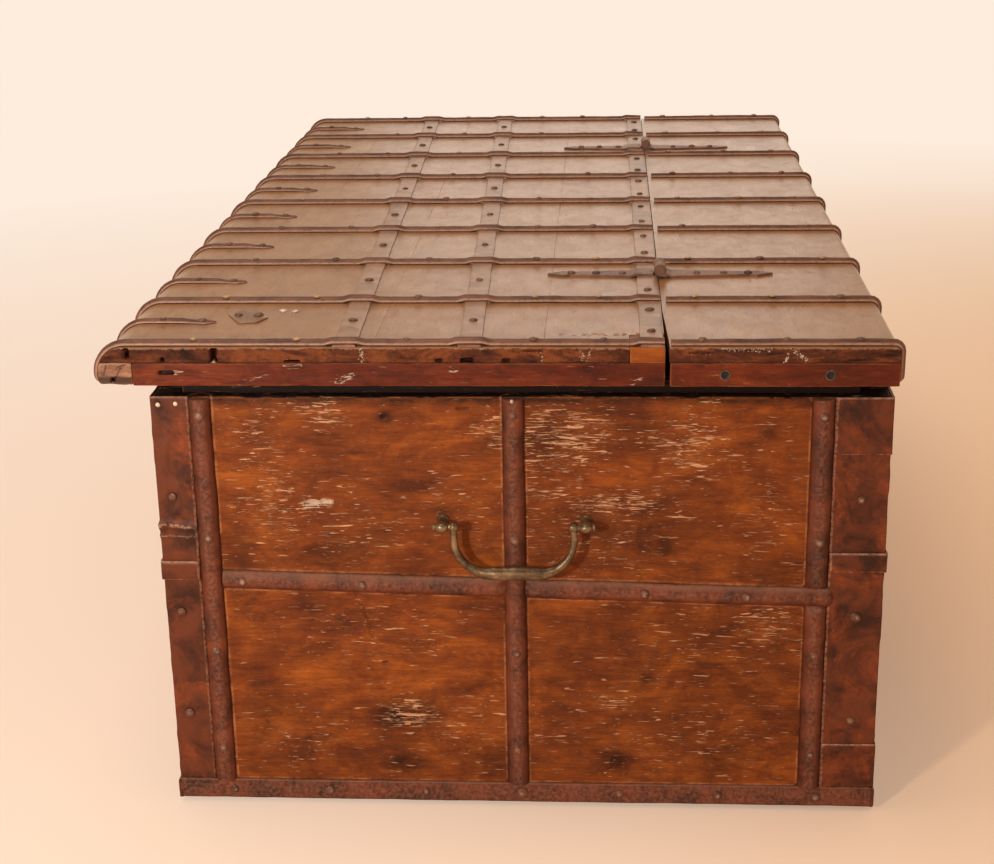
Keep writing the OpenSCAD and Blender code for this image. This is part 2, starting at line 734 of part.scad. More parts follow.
// Half of the U from the leg's top to the grip's middle: [y, z, angle of travel]
bail_half = concat(
    [[bail_w / 2, 0, -90]],
    [for (i = [0 : corner_steps])
        let (a = -90 * i / corner_steps, lift = -bail_drop + bail_corner_r)
            [grip_half + bail_corner_r * cos(a), lift + bail_corner_r * sin(a), a - 90]],
    [for (i = [1 : grip_steps - 1]) [grip_half * (1 - i / grip_steps), -bail_drop, -180]]
);
bail_line = concat(
    bail_half,
    [[0, -bail_drop, -180]],
    [for (i = [len(bail_half) - 1 : -1 : 0]) [-bail_half[i][0], bail_half[i][1], -bail_half[i][2] - 360]]
);
function bail_radius(y, z) =
    let (s = max(0, min(1, 1.15 - abs(y) / (bail_w / 2))))
        bail_leg_r + (bail_grip_r - bail_leg_r) * (z > -bail_drop / 3 ? 0 : s * s * (3 - 2 * s));
module bail_body() {
    rings = [
        for (p = bail_line)
            let (r = bail_radius(p[0], p[1]))
                [for (k = [0 : bail_sides - 1])
                    let (a = 360 * k / bail_sides, side = r * cos(a))
                        [r * sin(a), p[0] - side * sin(p[2]), p[1] + side * cos(p[2])]]
    ];
    loft(rings);
}
module bail()
    translate([bail_x, bail_y, bail_z]) {
        bail_body();
        for (side = [-1, 1])
            translate([0, side * bail_w / 2, 0]) rotate([-90 * side, 0, 0]) {
                translate([0, 0, -bail_hub_l / 2]) cylinder(r = bail_hub_r, h = bail_hub_l / 2 + 3.2);
                cylinder(r = bail_pin_r, h = post_offset + post_ball_r + 0.4);
                translate([0, 0, post_offset + post_ball_r + 0.3]) cylinder(r1 = 4, r2 = 3, h = 1.6);
            }
    }
module right_bail() color(bail_iron) bail();
module left_bail() color(bail_iron) mirror([1, 0, 0]) bail();

// Straps over the rear deck, turned down over its back edge
rear_stations = concat(
    [flat_station(deck_front + 1, 0, cross_w, cross_h),
     flat_station((deck_front + deck_back) / 2, 0, cross_w, cross_h)],
    arc_stations(deck_back - back_edge_r, deck_top - back_edge_r, back_edge_r, 90, 0, cross_w, cross_h),
    [[deck_back + 0.1, strap_end_z, 1, 0, cross_w * 0.8, cross_h * 0.6]]
);
module rear_cross_straps() color(iron) difference() {
    for (x = cross_x)
        mirror([0, 1, 0])
            lid_strap(x, [for (s = rear_stations) [-s[0], s[1], -s[2], s[3], s[4], s[5]]]);
    at_sites(rear_cross_sites) nail_hole(lid_nail_l);
}
module rear_deck_nails() color(iron) at_sites(rear_sites) nail(lid_nail_l);

// Hinges. A leaf is drawn towards -Y from its axis: its plan is cut by its side view
knuckle_gap = 0.5;
barrel_l = knuckle_l + 2 * (knuckle_gap + side_knuckle_l);
step_l = 5;
module leaf_plan(centre) {
    root_d = knuckle_r + 1;
    neck_w = leaf_w * 0.42;
    spear_w = leaf_w * 0.6;
    polygon([
        [-leaf_w / 2, -root_d], [leaf_w / 2, -root_d],
        [neck_w / 2, -leaf_l * 0.8], [spear_w / 2, -leaf_l * 0.86], [0, -leaf_l],
        [-spear_w / 2, -leaf_l * 0.86], [-neck_w / 2, -leaf_l * 0.8]
    ]);
    if (centre) translate([-knuckle_l / 2, -root_d - eps]) square([knuckle_l, root_d + eps]);
    else for (side = [-1, 1])
        translate([side * (barrel_l / 2 - side_knuckle_l / 2) - side_knuckle_l / 2, -root_d - eps])
            square([side_knuckle_l, root_d + eps]);
}
// The leaf's side view: lifted by long_t near the knuckle, then down on the deck
module leaf_side(lifted_d) {
    polygon([
        [0, long_t + touch], [0, long_t + touch + leaf_t],
        [-lifted_d, long_t + touch + leaf_t], [-lifted_d - step_l, leaf_t],
        [-leaf_l - 1, leaf_t], [-leaf_l - 1, touch],
        [-lifted_d - step_l, touch], [-lifted_d, long_t + touch]
    ]);
}
module leaf(centre, lifted_d) difference() {
    union() {
        intersection() {
            linear_extrude(20) leaf_plan(centre);
            translate([-leaf_w, 0, 0]) rotate([90, 0, 90]) linear_extrude(2 * leaf_w) leaf_side(lifted_d);
        }
        for (side = centre ? [0] : [-1, 1])
            translate([side * (barrel_l / 2 - side_knuckle_l / 2), 0, hinge_rise]) rotate([0, 90, 0])
                cylinder(r = knuckle_r, h = centre ? knuckle_l : side_knuckle_l, center = true);
    }
    translate([0, 0, hinge_rise]) rotate([0, 90, 0])
        cylinder(r = hinge_pin_r + fit_gap, h = barrel_l + 2, center = true);
    for (d = leaf_nail_d) translate([0, -d, leaf_t]) nail_hole(lid_nail_l);
}
edge_lift = hinge_y - edge_strap_front + 1;
module flap_hinge_leaves() color(iron)
    for (x = [-hinge_x, hinge_x]) translate([x, hinge_y, deck_top]) leaf(true, edge_lift);
module rear_hinge_leaves() color(iron)
    for (x = [-hinge_x, hinge_x])
        translate([x, hinge_y, deck_top]) mirror([0, 1, 0]) leaf(false, knuckle_r + 1);
module hinge_pins() color(bail_iron)
    for (x = [-hinge_x, hinge_x])
        translate([x, hinge_y, hinge_z]) rotate([0, 90, 0]) {
            cylinder(r = hinge_pin_r, h = barrel_l + 1, center = true);
            for (side = [-1, 1])
                translate([0, 0, side * (barrel_l / 2 + 0.9)])
                    cylinder(r = hinge_pin_r + 1.5, h = 1.2, center = true);
        }

// The flap's timber
module flap_outline() {
    intersection() {
        translate([nose_cy, nose_cz]) circle(nose_r, $fn = 96);
        translate([nose_front, nose_cz]) square([nose_r, nose_r]);
    }
    translate([nose_cy, flap_z]) square([flap_back - nose_cy, deck_top - flap_z]);
    translate([nose_front, flap_z + nose_under_r]) square([nose_r, nose_cz - flap_z - nose_under_r]);
    translate([nose_front + nose_under_r, flap_z + nose_under_r]) circle(nose_under_r);
    translate([nose_front + nose_under_r, flap_z]) square([nose_r, nose_cz - flap_z]);
}
module flap_slice(low_y, high_y, low_z, high_z, low_x, high_x)
    translate([low_x, 0, 0]) rotate([90, 0, 90]) linear_extrude(high_x - low_x)
        intersection() {
            flap_outline();
            translate([low_y, low_z]) square([high_y - low_y, high_z - low_z]);
        }
function joint_y(i) = first_joint + (flap_back - first_joint) * plank_shares[i];
module flap_plank(i) color(timber) difference() {
    low = i == 1 ? nose_front - 1 : joint_y(i - 1) + plank_gap / 2;
    high = i == plank_count ? flap_back : joint_y(i) - plank_gap / 2;
    flap_slice(low, high, deck_z, deck_top + 1, -lid_x, lid_x);
    if (i == plank_count) mend_room(0);
    at_sites([for (s = flap_sites) if (s[1] > low - head_r && s[1] < high + head_r) s])
        nail_hole(lid_nail_l);
}
// The block that fills a lost corner of the last plank
module mend_room(gap)
    block([lid_x - mend_l + gap, flap_back - mend_w + gap, deck_z - 1],
          [lid_x + 1, flap_back + 1, deck_top + 1]);
module mending_block() color(timber_red) intersection() {
    mend_room(plank_gap / 2);
    block([-lid_x, front_y, deck_z], [lid_x, flap_back, deck_top]);
}
module nosing() color(timber_grey)
    flap_slice(nose_front - 1, nose_back, flap_z - 1, deck_z, -lid_x, lid_x);
module flap_end_rails() color(timber_red)
    both_ends() block([lid_x - rail_w, nose_back, flap_z], [lid_x, flap_back, deck_z]);
module flap_front_rail() color(timber)
    block([-lid_x + rail_w, nose_back, flap_z], [lid_x - rail_w, nose_back + rail_w, deck_z]);
module flap_hinge_rail() color(timber)
    block([-lid_x + rail_w, flap_back - rail_w, flap_z], [lid_x - rail_w, flap_back, deck_z]);
module flap_battens() color(timber)
    both_ends()
        block([strap_pitch * 1.5 - rail_w / 2, nose_back + rail_w, flap_z],
              [strap_pitch * 1.5 + rail_w / 2, flap_back - rail_w, deck_z]);

// Flat straps along the lid
module long_strap(y_low_x, y_high_x) difference() {
    reach = lid_x - 0.5;
    translate([0, 0, deck_top + touch / 2]) linear_extrude(long_t - touch / 2)
        polygon([
            [-reach, y_low_x - long_w / 2], [reach, y_high_x - long_w / 2],
            [reach, y_high_x + long_w / 2], [-reach, y_low_x + long_w / 2]
        ]);
    at_sites(concat(long_sites, edge_sites)) nail_hole(lid_nail_l);
}
module front_long_strap() color(iron) long_strap(front_long_y(-lid_x), front_long_y(lid_x));
module middle_long_strap() color(iron) long_strap(middle_long_y(-lid_x), middle_long_y(lid_x));
module hinge_edge_strap() color(iron) long_strap(edge_nail_y, edge_nail_y);

// Half-round straps across the flap: over the flat ones and round the nosing
function flap_stations(x) = concat(
    [flat_station(flap_back - 0.5, long_t, cross_w, cross_h * 0.8),
     flat_station(edge_strap_front - 1, long_t, cross_w * 1.06, cross_h),
     flat_station(edge_strap_front - ramp - 1, 0, cross_w, cross_h)],
    hump(middle_long_y(x), cross_w, cross_h),
    hump(front_long_y(x), cross_w, cross_h),
    nose_stations(cross_w, cross_h)
);
module flap_cross_straps() color(iron) difference() {
    for (x = cross_x) lid_strap(x, flap_stations(x));
    at_sites(flap_cross_sites) nail_hole(lid_nail_l);
}

// Short straps: a spear point, then a half-round tail round the nosing
short_stations = concat(
    [for (d = [0, 9, 20, 32, 52])
        flat_station(front_y + short_reach - d, 0, short_width(d), short_height(d))],
    nose_stations(short_width(100), short_height(100))
);
module short_straps() color(iron) difference() {
    for (x = short_x) lid_strap(x, short_stations);
    at_sites(short_sites) nail_hole(lid_nail_l);
}

module flap_nails() color(brassy) at_sites(flap_sites) nail(lid_nail_l);

// A small mending plate near the right front corner
module diamond_patch() color(iron) difference() {
    patch_l = 44;
    patch_w = 20;
    translate([patch_x, patch_y, deck_top + touch / 2]) linear_extrude(sheet_t - touch / 2)
        polygon([
            [0, -patch_l / 2], [patch_w / 2, -patch_l / 4], [patch_w / 2, patch_l / 4],
            [0, patch_l / 2], [-patch_w / 2, patch_l / 4], [-patch_w / 2, -patch_l / 4]
        ]);
    at_sites(patch_sites) nail_hole(lid_nail_l);
}

// Hasp, its eye under the nosing and its staple in the front wall
eye_w = 10;
eye_t = 2.4;
module hasp_eye() color(iron) difference() {
    union() {
        translate([0, hasp_y, hasp_z]) rotate([0, 90, 0])
            cylinder(r = hasp_knuckle_r, h = eye_w, center = true);
        block([-eye_w / 2, hasp_y, flap_z - touch - eye_t], [eye_w / 2, nose_back - 4, flap_z - touch]);
        block([-hasp_w / 2, hasp_y + hasp_knuckle_r + 1, flap_z - touch - eye_t],
              [hasp_w / 2, nose_back - 4, flap_z - touch]);
    }
    translate([0, hasp_y, hasp_z]) rotate([0, 90, 0])
        cylinder(r = hasp_pin_r + fit_gap, h = eye_w + 2, center = true);
}
module hasp() color(iron)
    translate([0, hasp_y, hasp_z]) difference() {
        union() {
            for (side = [-1, 1])
                translate([side * (eye_w / 2 + knuckle_gap + (hasp_w - eye_w) / 4), 0, 0])
                    rotate([0, 90, 0])
                        cylinder(r = hasp_knuckle_r, h = (hasp_w - eye_w) / 2 - 2 * knuckle_gap,
                                 center = true);
            rotate([90, 0, 0]) linear_extrude(hasp_t, center = true) difference() {
                union() {
                    translate([-hasp_w / 2 + knuckle_gap, -hasp_l + hasp_w / 2])
                        square([hasp_w - 2 * knuckle_gap, hasp_l - hasp_w / 2]);
                    translate([0, -hasp_l + hasp_w / 2]) circle(hasp_w / 2 - knuckle_gap);
                }
                translate([-slot_w / 2, -slot_mid - slot_l / 2 + slot_w / 2])
                    square([slot_w, slot_l - slot_w]);
                for (side = [-1, 1])
                    translate([0, -slot_mid + side * (slot_l - slot_w) / 2]) circle(slot_w / 2);
                translate([-eye_w / 2 - knuckle_gap, -hasp_knuckle_r - 1])
                    square([eye_w + 2 * knuckle_gap, hasp_knuckle_r + 10]);
            }
        }
        rotate([0, 90, 0]) cylinder(r = hasp_pin_r + fit_gap, h = hasp_w + 2, center = true);
    }
module hasp_pin() color(bail_iron)
    translate([0, hasp_y, hasp_z]) rotate([0, 90, 0]) {
        cylinder(r = hasp_pin_r, h = hasp_w + 1, center = true);
        for (side = [-1, 1])
            translate([0, 0, side * (hasp_w / 2 + 0.9)])
                cylinder(r = hasp_pin_r + 1, h = 1.2, center = true);
    }

clench_l = 12;
module hasp_staple() color(iron)
    translate([0, front_y, staple_z]) {
        straight = staple_reach - staple_r - staple_pitch / 2;
        translate([0, -straight, 0]) rotate([0, -90, 0]) rotate([0, 0, 180])
            rotate_extrude(angle = 180) translate([staple_pitch / 2, 0]) circle(staple_r);
        for (side = [-1, 1])
            translate([0, 0, side * staple_pitch / 2]) {
                translate([0, -straight - eps, 0]) rotate([-90, 0, 0])
                    cylinder(r = staple_r, h = straight + wall_t + staple_r + 0.3 + eps);
                translate([0, wall_t + staple_r + 0.3, 0]) {
                    sphere(staple_r);
                    rotate([side > 0 ? 0 : 180, 0, 0]) cylinder(r = staple_r, h = clench_l);
                }
            }
    }

front_wall();
back_wall();
right_end_wall();
left_end_wall();
bottom_boards();
rear_deck_plank();
rear_end_rails();
rear_long_rails();
rail_bolts();
corner_iron(1, -1);  // corner_iron_front_right
corner_iron(1, 1);  // corner_iron_back_right
corner_iron(-1, -1);  // corner_iron_front_left
corner_iron(-1, 1);  // corner_iron_back_left
right_end_uprights();
left_end_uprights();
front_uprights();
back_uprights();
right_mid_band();
left_mid_band();
front_mid_band();
back_mid_band();
end_foot_bands();
front_foot_band();
back_foot_band();
corner_clips();
corner_plates();
right_handle_posts();
left_handle_posts();
right_end_nails();
left_end_nails();
front_nails();
back_nails();
rear_cross_straps();
rear_deck_nails();
rear_hinge_leaves();
hinge_pins();
hasp_staple();
for (i = [1 : plank_count])
    flap_plank(i);
mending_block();
nosing();
flap_end_rails();
flap_front_rail();
flap_hinge_rail();
flap_battens();
front_long_strap();
middle_long_strap();
hinge_edge_strap();
flap_cross_straps();
short_straps();
flap_nails();
flap_hinge_leaves();
diamond_patch();
hasp_eye();
hasp_pin();
hasp();
right_bail();
left_bail();
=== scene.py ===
"""Looks of an iron-bound plank chest: worn boards, forged straps, hand-made nails and drop handles.

Metres, in the frame of the part: X along the chest, Y from front to back, Z up from the floor.
"""

import math

import bmesh
import bpy
import numpy as np
from mathutils import Matrix, Vector

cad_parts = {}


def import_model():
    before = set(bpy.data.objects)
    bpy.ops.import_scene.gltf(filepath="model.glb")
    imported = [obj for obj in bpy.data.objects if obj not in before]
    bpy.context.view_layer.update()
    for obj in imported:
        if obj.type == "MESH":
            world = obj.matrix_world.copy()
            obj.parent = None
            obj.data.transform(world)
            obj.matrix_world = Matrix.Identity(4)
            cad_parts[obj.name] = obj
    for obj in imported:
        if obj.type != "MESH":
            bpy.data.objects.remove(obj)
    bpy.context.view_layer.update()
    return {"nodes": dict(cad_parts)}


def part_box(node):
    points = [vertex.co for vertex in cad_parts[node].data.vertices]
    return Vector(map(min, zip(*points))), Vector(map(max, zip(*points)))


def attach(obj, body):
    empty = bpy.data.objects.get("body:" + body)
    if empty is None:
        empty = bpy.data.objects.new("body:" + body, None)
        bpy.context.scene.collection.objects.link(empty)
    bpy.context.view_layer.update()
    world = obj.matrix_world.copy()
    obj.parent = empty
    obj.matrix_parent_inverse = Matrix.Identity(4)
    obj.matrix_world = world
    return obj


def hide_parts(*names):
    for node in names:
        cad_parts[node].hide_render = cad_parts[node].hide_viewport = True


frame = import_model()
MM = 0.001


# Places read from the frame
def solids(node):
    """Corner pairs of a node's separate solids, found from its loose triangles, in order of X, then Y."""
    mesh = frame["nodes"][node].data
    points = np.empty(len(mesh.vertices) * 3)
    mesh.vertices.foreach_get("co", points)
    points = points.reshape(-1, 3)
    merged, same = np.unique(np.round(points, 6), axis=0, return_inverse=True)
    corners = np.empty(len(mesh.loops), int)
    mesh.loops.foreach_get("vertex_index", corners)
    triangles = same.ravel()[corners].reshape(-1, 3)
    label = np.arange(len(merged))
    while True:
        lower = label.copy()
        np.minimum.at(lower, triangles.ravel(), np.repeat(label[triangles].min(axis=1), 3))
        lower = lower[lower]
        if np.array_equal(lower, label):
            break
        label = lower
    boxes = []
    for own in np.unique(label):
        group = merged[label == own]
        boxes.append((group.min(axis=0), group.max(axis=0)))
    return sorted(boxes, key=lambda pair: (round(pair[0][0], 3), round(pair[0][1], 3)))


def low(node):
    """A node's lowest corner, nearest to the left end and the front."""
    return np.array(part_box(node)[0])


def high(node):
    """The corner opposite to that."""
    return np.array(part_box(node)[1])


def middle(node, axis):
    """Where a node's middle is along an axis."""
    return (low(node)[axis] + high(node)[axis]) / 2


END_X = high("right_end_wall")[0]
FRONT_Y = low("front_wall")[1]
BACK_Y = high("back_wall")[1]
WALL_FOOT = low("front_wall")[2]
DECK_TOP = high("flap_plank_2")[2]
DECK_UNDER = low("flap_plank_2")[2]
LID_X = high("nosing")[0]
WALL_TOP = high("corner_iron_front_right")[2]
LONG_T = high("front_long_strap")[2] - DECK_TOP
# The case's sides: which way each one lies along X or Y, and its name
ENDS = ((1, "right"), (-1, "left"))
FACES = ((-1, "front"), (1, "back"))

# Sizes of the forged and rounded forms
NOSE_R = 27 * MM
REAR_EDGE_R = 6 * MM
CROSS_W = 12.5 * MM
CROSS_H = 5.6 * MM
HEAD_H = 2.4 * MM
LONG_SLANT = math.radians(1.6)
BAND_SLANT = math.radians(1.45)


# Repeatable roughness
CELL_KEYS = np.array([73856093, 19349663, 83492791])
KEY_TURN = 1274126177
SEED_STEP = 17.3
LAYER_STEP = 31


def lumps(points, size, seed):
    """Smooth random values from -1 to 1 at the points.

    size is a feature's size, as one number or one for each axis.
    """
    at = points / np.asarray(size, float) + SEED_STEP * seed
    cell = np.floor(at).astype(np.int64)
    part = at - cell
    part = part * part * (3 - 2 * part)
    total = np.zeros(len(points))
    for corner in np.ndindex(2, 2, 2):
        key = (cell + corner) @ CELL_KEYS
        key = (key ^ (key >> 13)) * KEY_TURN & 0x7FFFFFFF
        value = ((key ^ (key >> 15)) & 0xFFFF) / 32767.5 - 1
        share = np.where(np.array(corner) == 1, part, 1 - part).prod(axis=1)
        total += value * share
    return total


def rough(points, size, seed):
    """Three sizes of lumps added up."""
    size = np.asarray(size, float)
    return sum(lumps(points, size / 2**i, seed + LAYER_STEP * i) / 1.7**i for i in range(3)) / 1.6


def spot(distance, reach):
    """1 in the middle, falling smoothly to 0 at the reach."""
    share = np.clip(1 - np.asarray(distance) / reach, 0, 1)
    return share * share * (3 - 2 * share)


def off_strip(points, start, end, half_width):
    """Distance of the points from a straight strip of the given half width."""
    start, end = np.asarray(start, float), np.asarray(end, float)
    run = end - start
    share = np.clip((points - start) @ run / max(run @ run, 1e-12), 0, 1)
    return np.maximum(np.linalg.norm(points - start - share[:, None] * run, axis=1) - half_width, 0)


# Meshes
def make_piece(name, points, faces, material, body, replaced, attributes):
    """A finished piece from points and faces, riding on its body."""
    mesh = bpy.data.meshes.new(name)
    mesh.from_pydata(points.tolist(), [], [list(face) for face in faces])
    for key, values in attributes.items():
        own = mesh.attributes.new(key, "FLOAT", "POINT")
        own.data.foreach_set("value", np.asarray(values, np.float32))
    mesh.polygons.foreach_set("use_smooth", [True] * len(mesh.polygons))
    return dress(name, mesh, material, body, replaced)


def dress(name, mesh, material, body, replaced):
    """The piece made of a mesh, in its material, on its body."""
    mesh.materials.clear()
    mesh.materials.append(material)
    piece = bpy.data.objects.new(name, mesh)
    bpy.context.scene.collection.objects.link(piece)
    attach(piece, body)
    if replaced:
        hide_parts(*replaced)
    return piece


def spaced(start, end, step, edge, extra):
    """Grid lines between two ends: close within the rounded edges, about a step apart between them.

    extra are lines that are wanted as well.
    """
    near = np.array([0, 0.18, 0.5]) * edge
    count = max(1, round((end - start - 2 * edge) / step))
    middle = np.linspace(start + edge, end - edge, count + 1)
    lines = np.concatenate([start + near, middle, end - near, np.asarray(extra, float)])
    lines = np.unique(np.round(lines, 6))
    keep = np.concatenate([[True], np.diff(lines) > 0.05 * MM])
    return lines[keep]


def box_grid(lines):
    """Points and outward quads of a box's six sides, cut by the grid lines along X, Y and Z."""
    counts = [len(own) for own in lines]
    skin = np.zeros(counts, bool)
    for axis in range(3):
        for end in (0, -1):
            side = [slice(None)] * 3
            side[axis] = end
            skin[tuple(side)] = True
    index = np.zeros(counts, int)
    index[skin] = np.arange(skin.sum())
    cells = np.argwhere(skin)
    points = np.stack([lines[axis][cells[:, axis]] for axis in range(3)], axis=1)
    quads = []
    for axis in range(3):
        for end in (0, counts[axis] - 1):
            grid = np.take(index, end, axis=axis)
            loop = [grid[:-1, :-1], grid[1:, :-1], grid[1:, 1:], grid[:-1, 1:]]
            outward = (end == 0) == (axis == 1)
            quads.append(np.stack([own.ravel() for own in (loop if outward else loop[::-1])], axis=1))
    return points, np.concatenate(quads)


def board_mesh(corner_a, corner_b, step, edge, extra):
    """A board with rounded, unevenly worn edges: its points, faces, outward directions and edge wear."""
    corner_a, corner_b = np.asarray(corner_a, float), np.asarray(corner_b, float)
    step = np.broadcast_to(step, 3)
    lines = [spaced(corner_a[i], corner_b[i], step[i], edge, extra[i]) for i in range(3)]
    points, faces = box_grid(lines)
    wear = rough(points, 60 * MM, 5)
    radius = edge * np.clip(0.75 + 0.55 * wear, 0.35, 1.6)
    radius = np.minimum(radius, (corner_b - corner_a).min() / 2.2)[:, None]
    inner = np.clip(points, corner_a + radius, corner_b - radius)
    out = points - inner
    out /= np.linalg.norm(out, axis=1, keepdims=True)
    return inner + out * radius, faces, out, 1 - np.abs(out).max(axis=1)


def loft_mesh(rings):
    """Points and faces of a tube through equal rings, with its ends filled."""
    count, around = rings.shape[:2]
    index = np.arange(count * around).reshape(count, around)
    following = np.roll(index, -1, axis=1)
    quads = np.stack([index[:-1], following[:-1], following[1:], index[1:]], axis=-1).reshape(-1, 4)
    return rings.reshape(-1, 3), quads.tolist() + [index[0][::-1].tolist(), index[-1].tolist()]


def outward(mesh):
    """Turns every closed shell's faces outwards."""
    work = bmesh.new()
    work.from_mesh(mesh)
    bmesh.ops.recalc_face_normals(work, faces=work.faces)
    work.to_mesh(mesh)
    work.free()
    return mesh


# Node trees
class Nodes:
    """A short way to write a node tree."""

    def __init__(self, tree):
        self.tree = tree

    @staticmethod
    def pick(sockets, key):
        shown = [own for own in sockets if own.enabled]
        if isinstance(key, int):
            return shown[key]
        return next(own for own in shown if own.name == key)

    def out(self, node, key=0):
        return self.pick(node.outputs, key)

    def add(self, kind, inputs=None, **settings):
        node = self.tree.nodes.new(kind)
        for key, value in settings.items():
            setattr(node, key, value)
        for key, value in (inputs or {}).items():
            target = self.pick(node.inputs, key)
            if isinstance(value, bpy.types.Node):
                value = self.out(value)
            if isinstance(value, bpy.types.NodeSocket):
                self.tree.links.new(value, target)
            else:
                target.default_value = value
        return node

    def math(self, operation, a, b=None, clamp=False):
        inputs = {0: a} if b is None else {0: a, 1: b}
        return self.add("ShaderNodeMath", inputs, operation=operation, use_clamp=clamp)

    def plus(self, a, b):
        return self.math("ADD", a, b)

    def times(self, a, b, clamp=False):
        return self.math("MULTIPLY", a, b, clamp)

    def vector(self, operation, a, b=None):
        inputs = {0: a} if b is None else {0: a, 1: b}
        return self.add("ShaderNodeVectorMath", inputs, operation=operation)

    def scaled(self, vector, amount):
        return self.add("ShaderNodeVectorMath", {"Vector": vector, "Scale": amount}, operation="SCALE")

    def spread(self, value, from_low, from_high, to_low=0.0, to_high=1.0):
        return self.add("ShaderNodeMapRange", {
            "Value": value, "From Min": from_low, "From Max": from_high, "To Min": to_low, "To Max": to_high,
        }, clamp=True)


class Maker(Nodes):
    """A geometry node tree with named inputs, and the way to run it on a mesh."""

    def __init__(self, name, inputs):
        super().__init__(bpy.data.node_groups.new(name, "GeometryNodeTree"))
        sockets = self.tree.interface
        sockets.new_socket(name="Geometry", in_out="OUTPUT", socket_type="NodeSocketGeometry")
        sockets.new_socket(name="Geometry", in_out="INPUT", socket_type="NodeSocketGeometry")
        self.keys = {}
        for key, value in inputs.items():
            kind = "NodeSocketInt" if isinstance(value, int) else "NodeSocketFloat"
            socket = sockets.new_socket(name=key, in_out="INPUT", socket_type=kind)
            socket.default_value = value
            self.keys[key] = socket.identifier
        socket = sockets.new_socket(name="Material", in_out="INPUT", socket_type="NodeSocketMaterial")
        self.keys["Material"] = socket.identifier
        self.inputs = self.add("NodeGroupInput")

    def given(self, key):
        return self.out(self.inputs, key)

    def named(self, name, kind="FLOAT_VECTOR"):
        own = self.add("GeometryNodeInputNamedAttribute", {"Name": name}, data_type=kind)
        return self.out(own, "Attribute")

    def store(self, geometry, name, value, kind="FLOAT_VECTOR", domain="POINT"):
        inputs = {"Geometry": geometry, "Name": name, "Value": value}
        return self.add("GeometryNodeStoreNamedAttribute", inputs, data_type=kind, domain=domain)

    def uneven(self, place, size, seed, detail=2.0):
        """Noise from about -1 to 1 over features of the given size."""
        at = self.scaled(place, self.math("DIVIDE", 1.0, size))
        inputs = {"Vector": at, "W": seed, "Scale": 1.0, "Detail": detail}
        noise = self.add("ShaderNodeTexNoise", inputs, noise_dimensions="4D")
        return self.times(self.math("SUBTRACT", self.out(noise, 0), 0.5), 2.6)

    def close(self, geometry):
        smooth = self.add("GeometryNodeSetShadeSmooth", {"Geometry": geometry})
        real = self.add("GeometryNodeRealizeInstances", {"Geometry": smooth})
        inputs = {"Geometry": real, "Material": self.given("Material")}
        dressed = self.add("GeometryNodeSetMaterial", inputs)
        self.add("NodeGroupOutput", {"Geometry": dressed})

    def run(self, mesh, **values):
        """The plain mesh that the tree makes from the given one."""
        work = bpy.data.objects.new("work", mesh)
        bpy.context.scene.collection.objects.link(work)
        modifier = work.modifiers.new("make", "NODES")
        modifier.node_group = self.tree
        for key, value in values.items():
            modifier[self.keys[key.replace("_", " ").title()]] = value
        depsgraph = bpy.context.evaluated_depsgraph_get()
        made = bpy.data.meshes.new_from_object(
            work.evaluated_get(depsgraph), preserve_all_data_layers=True, depsgraph=depsgraph)
        work.modifiers.remove(modifier)
        bpy.data.objects.remove(work)
        return outward(made)


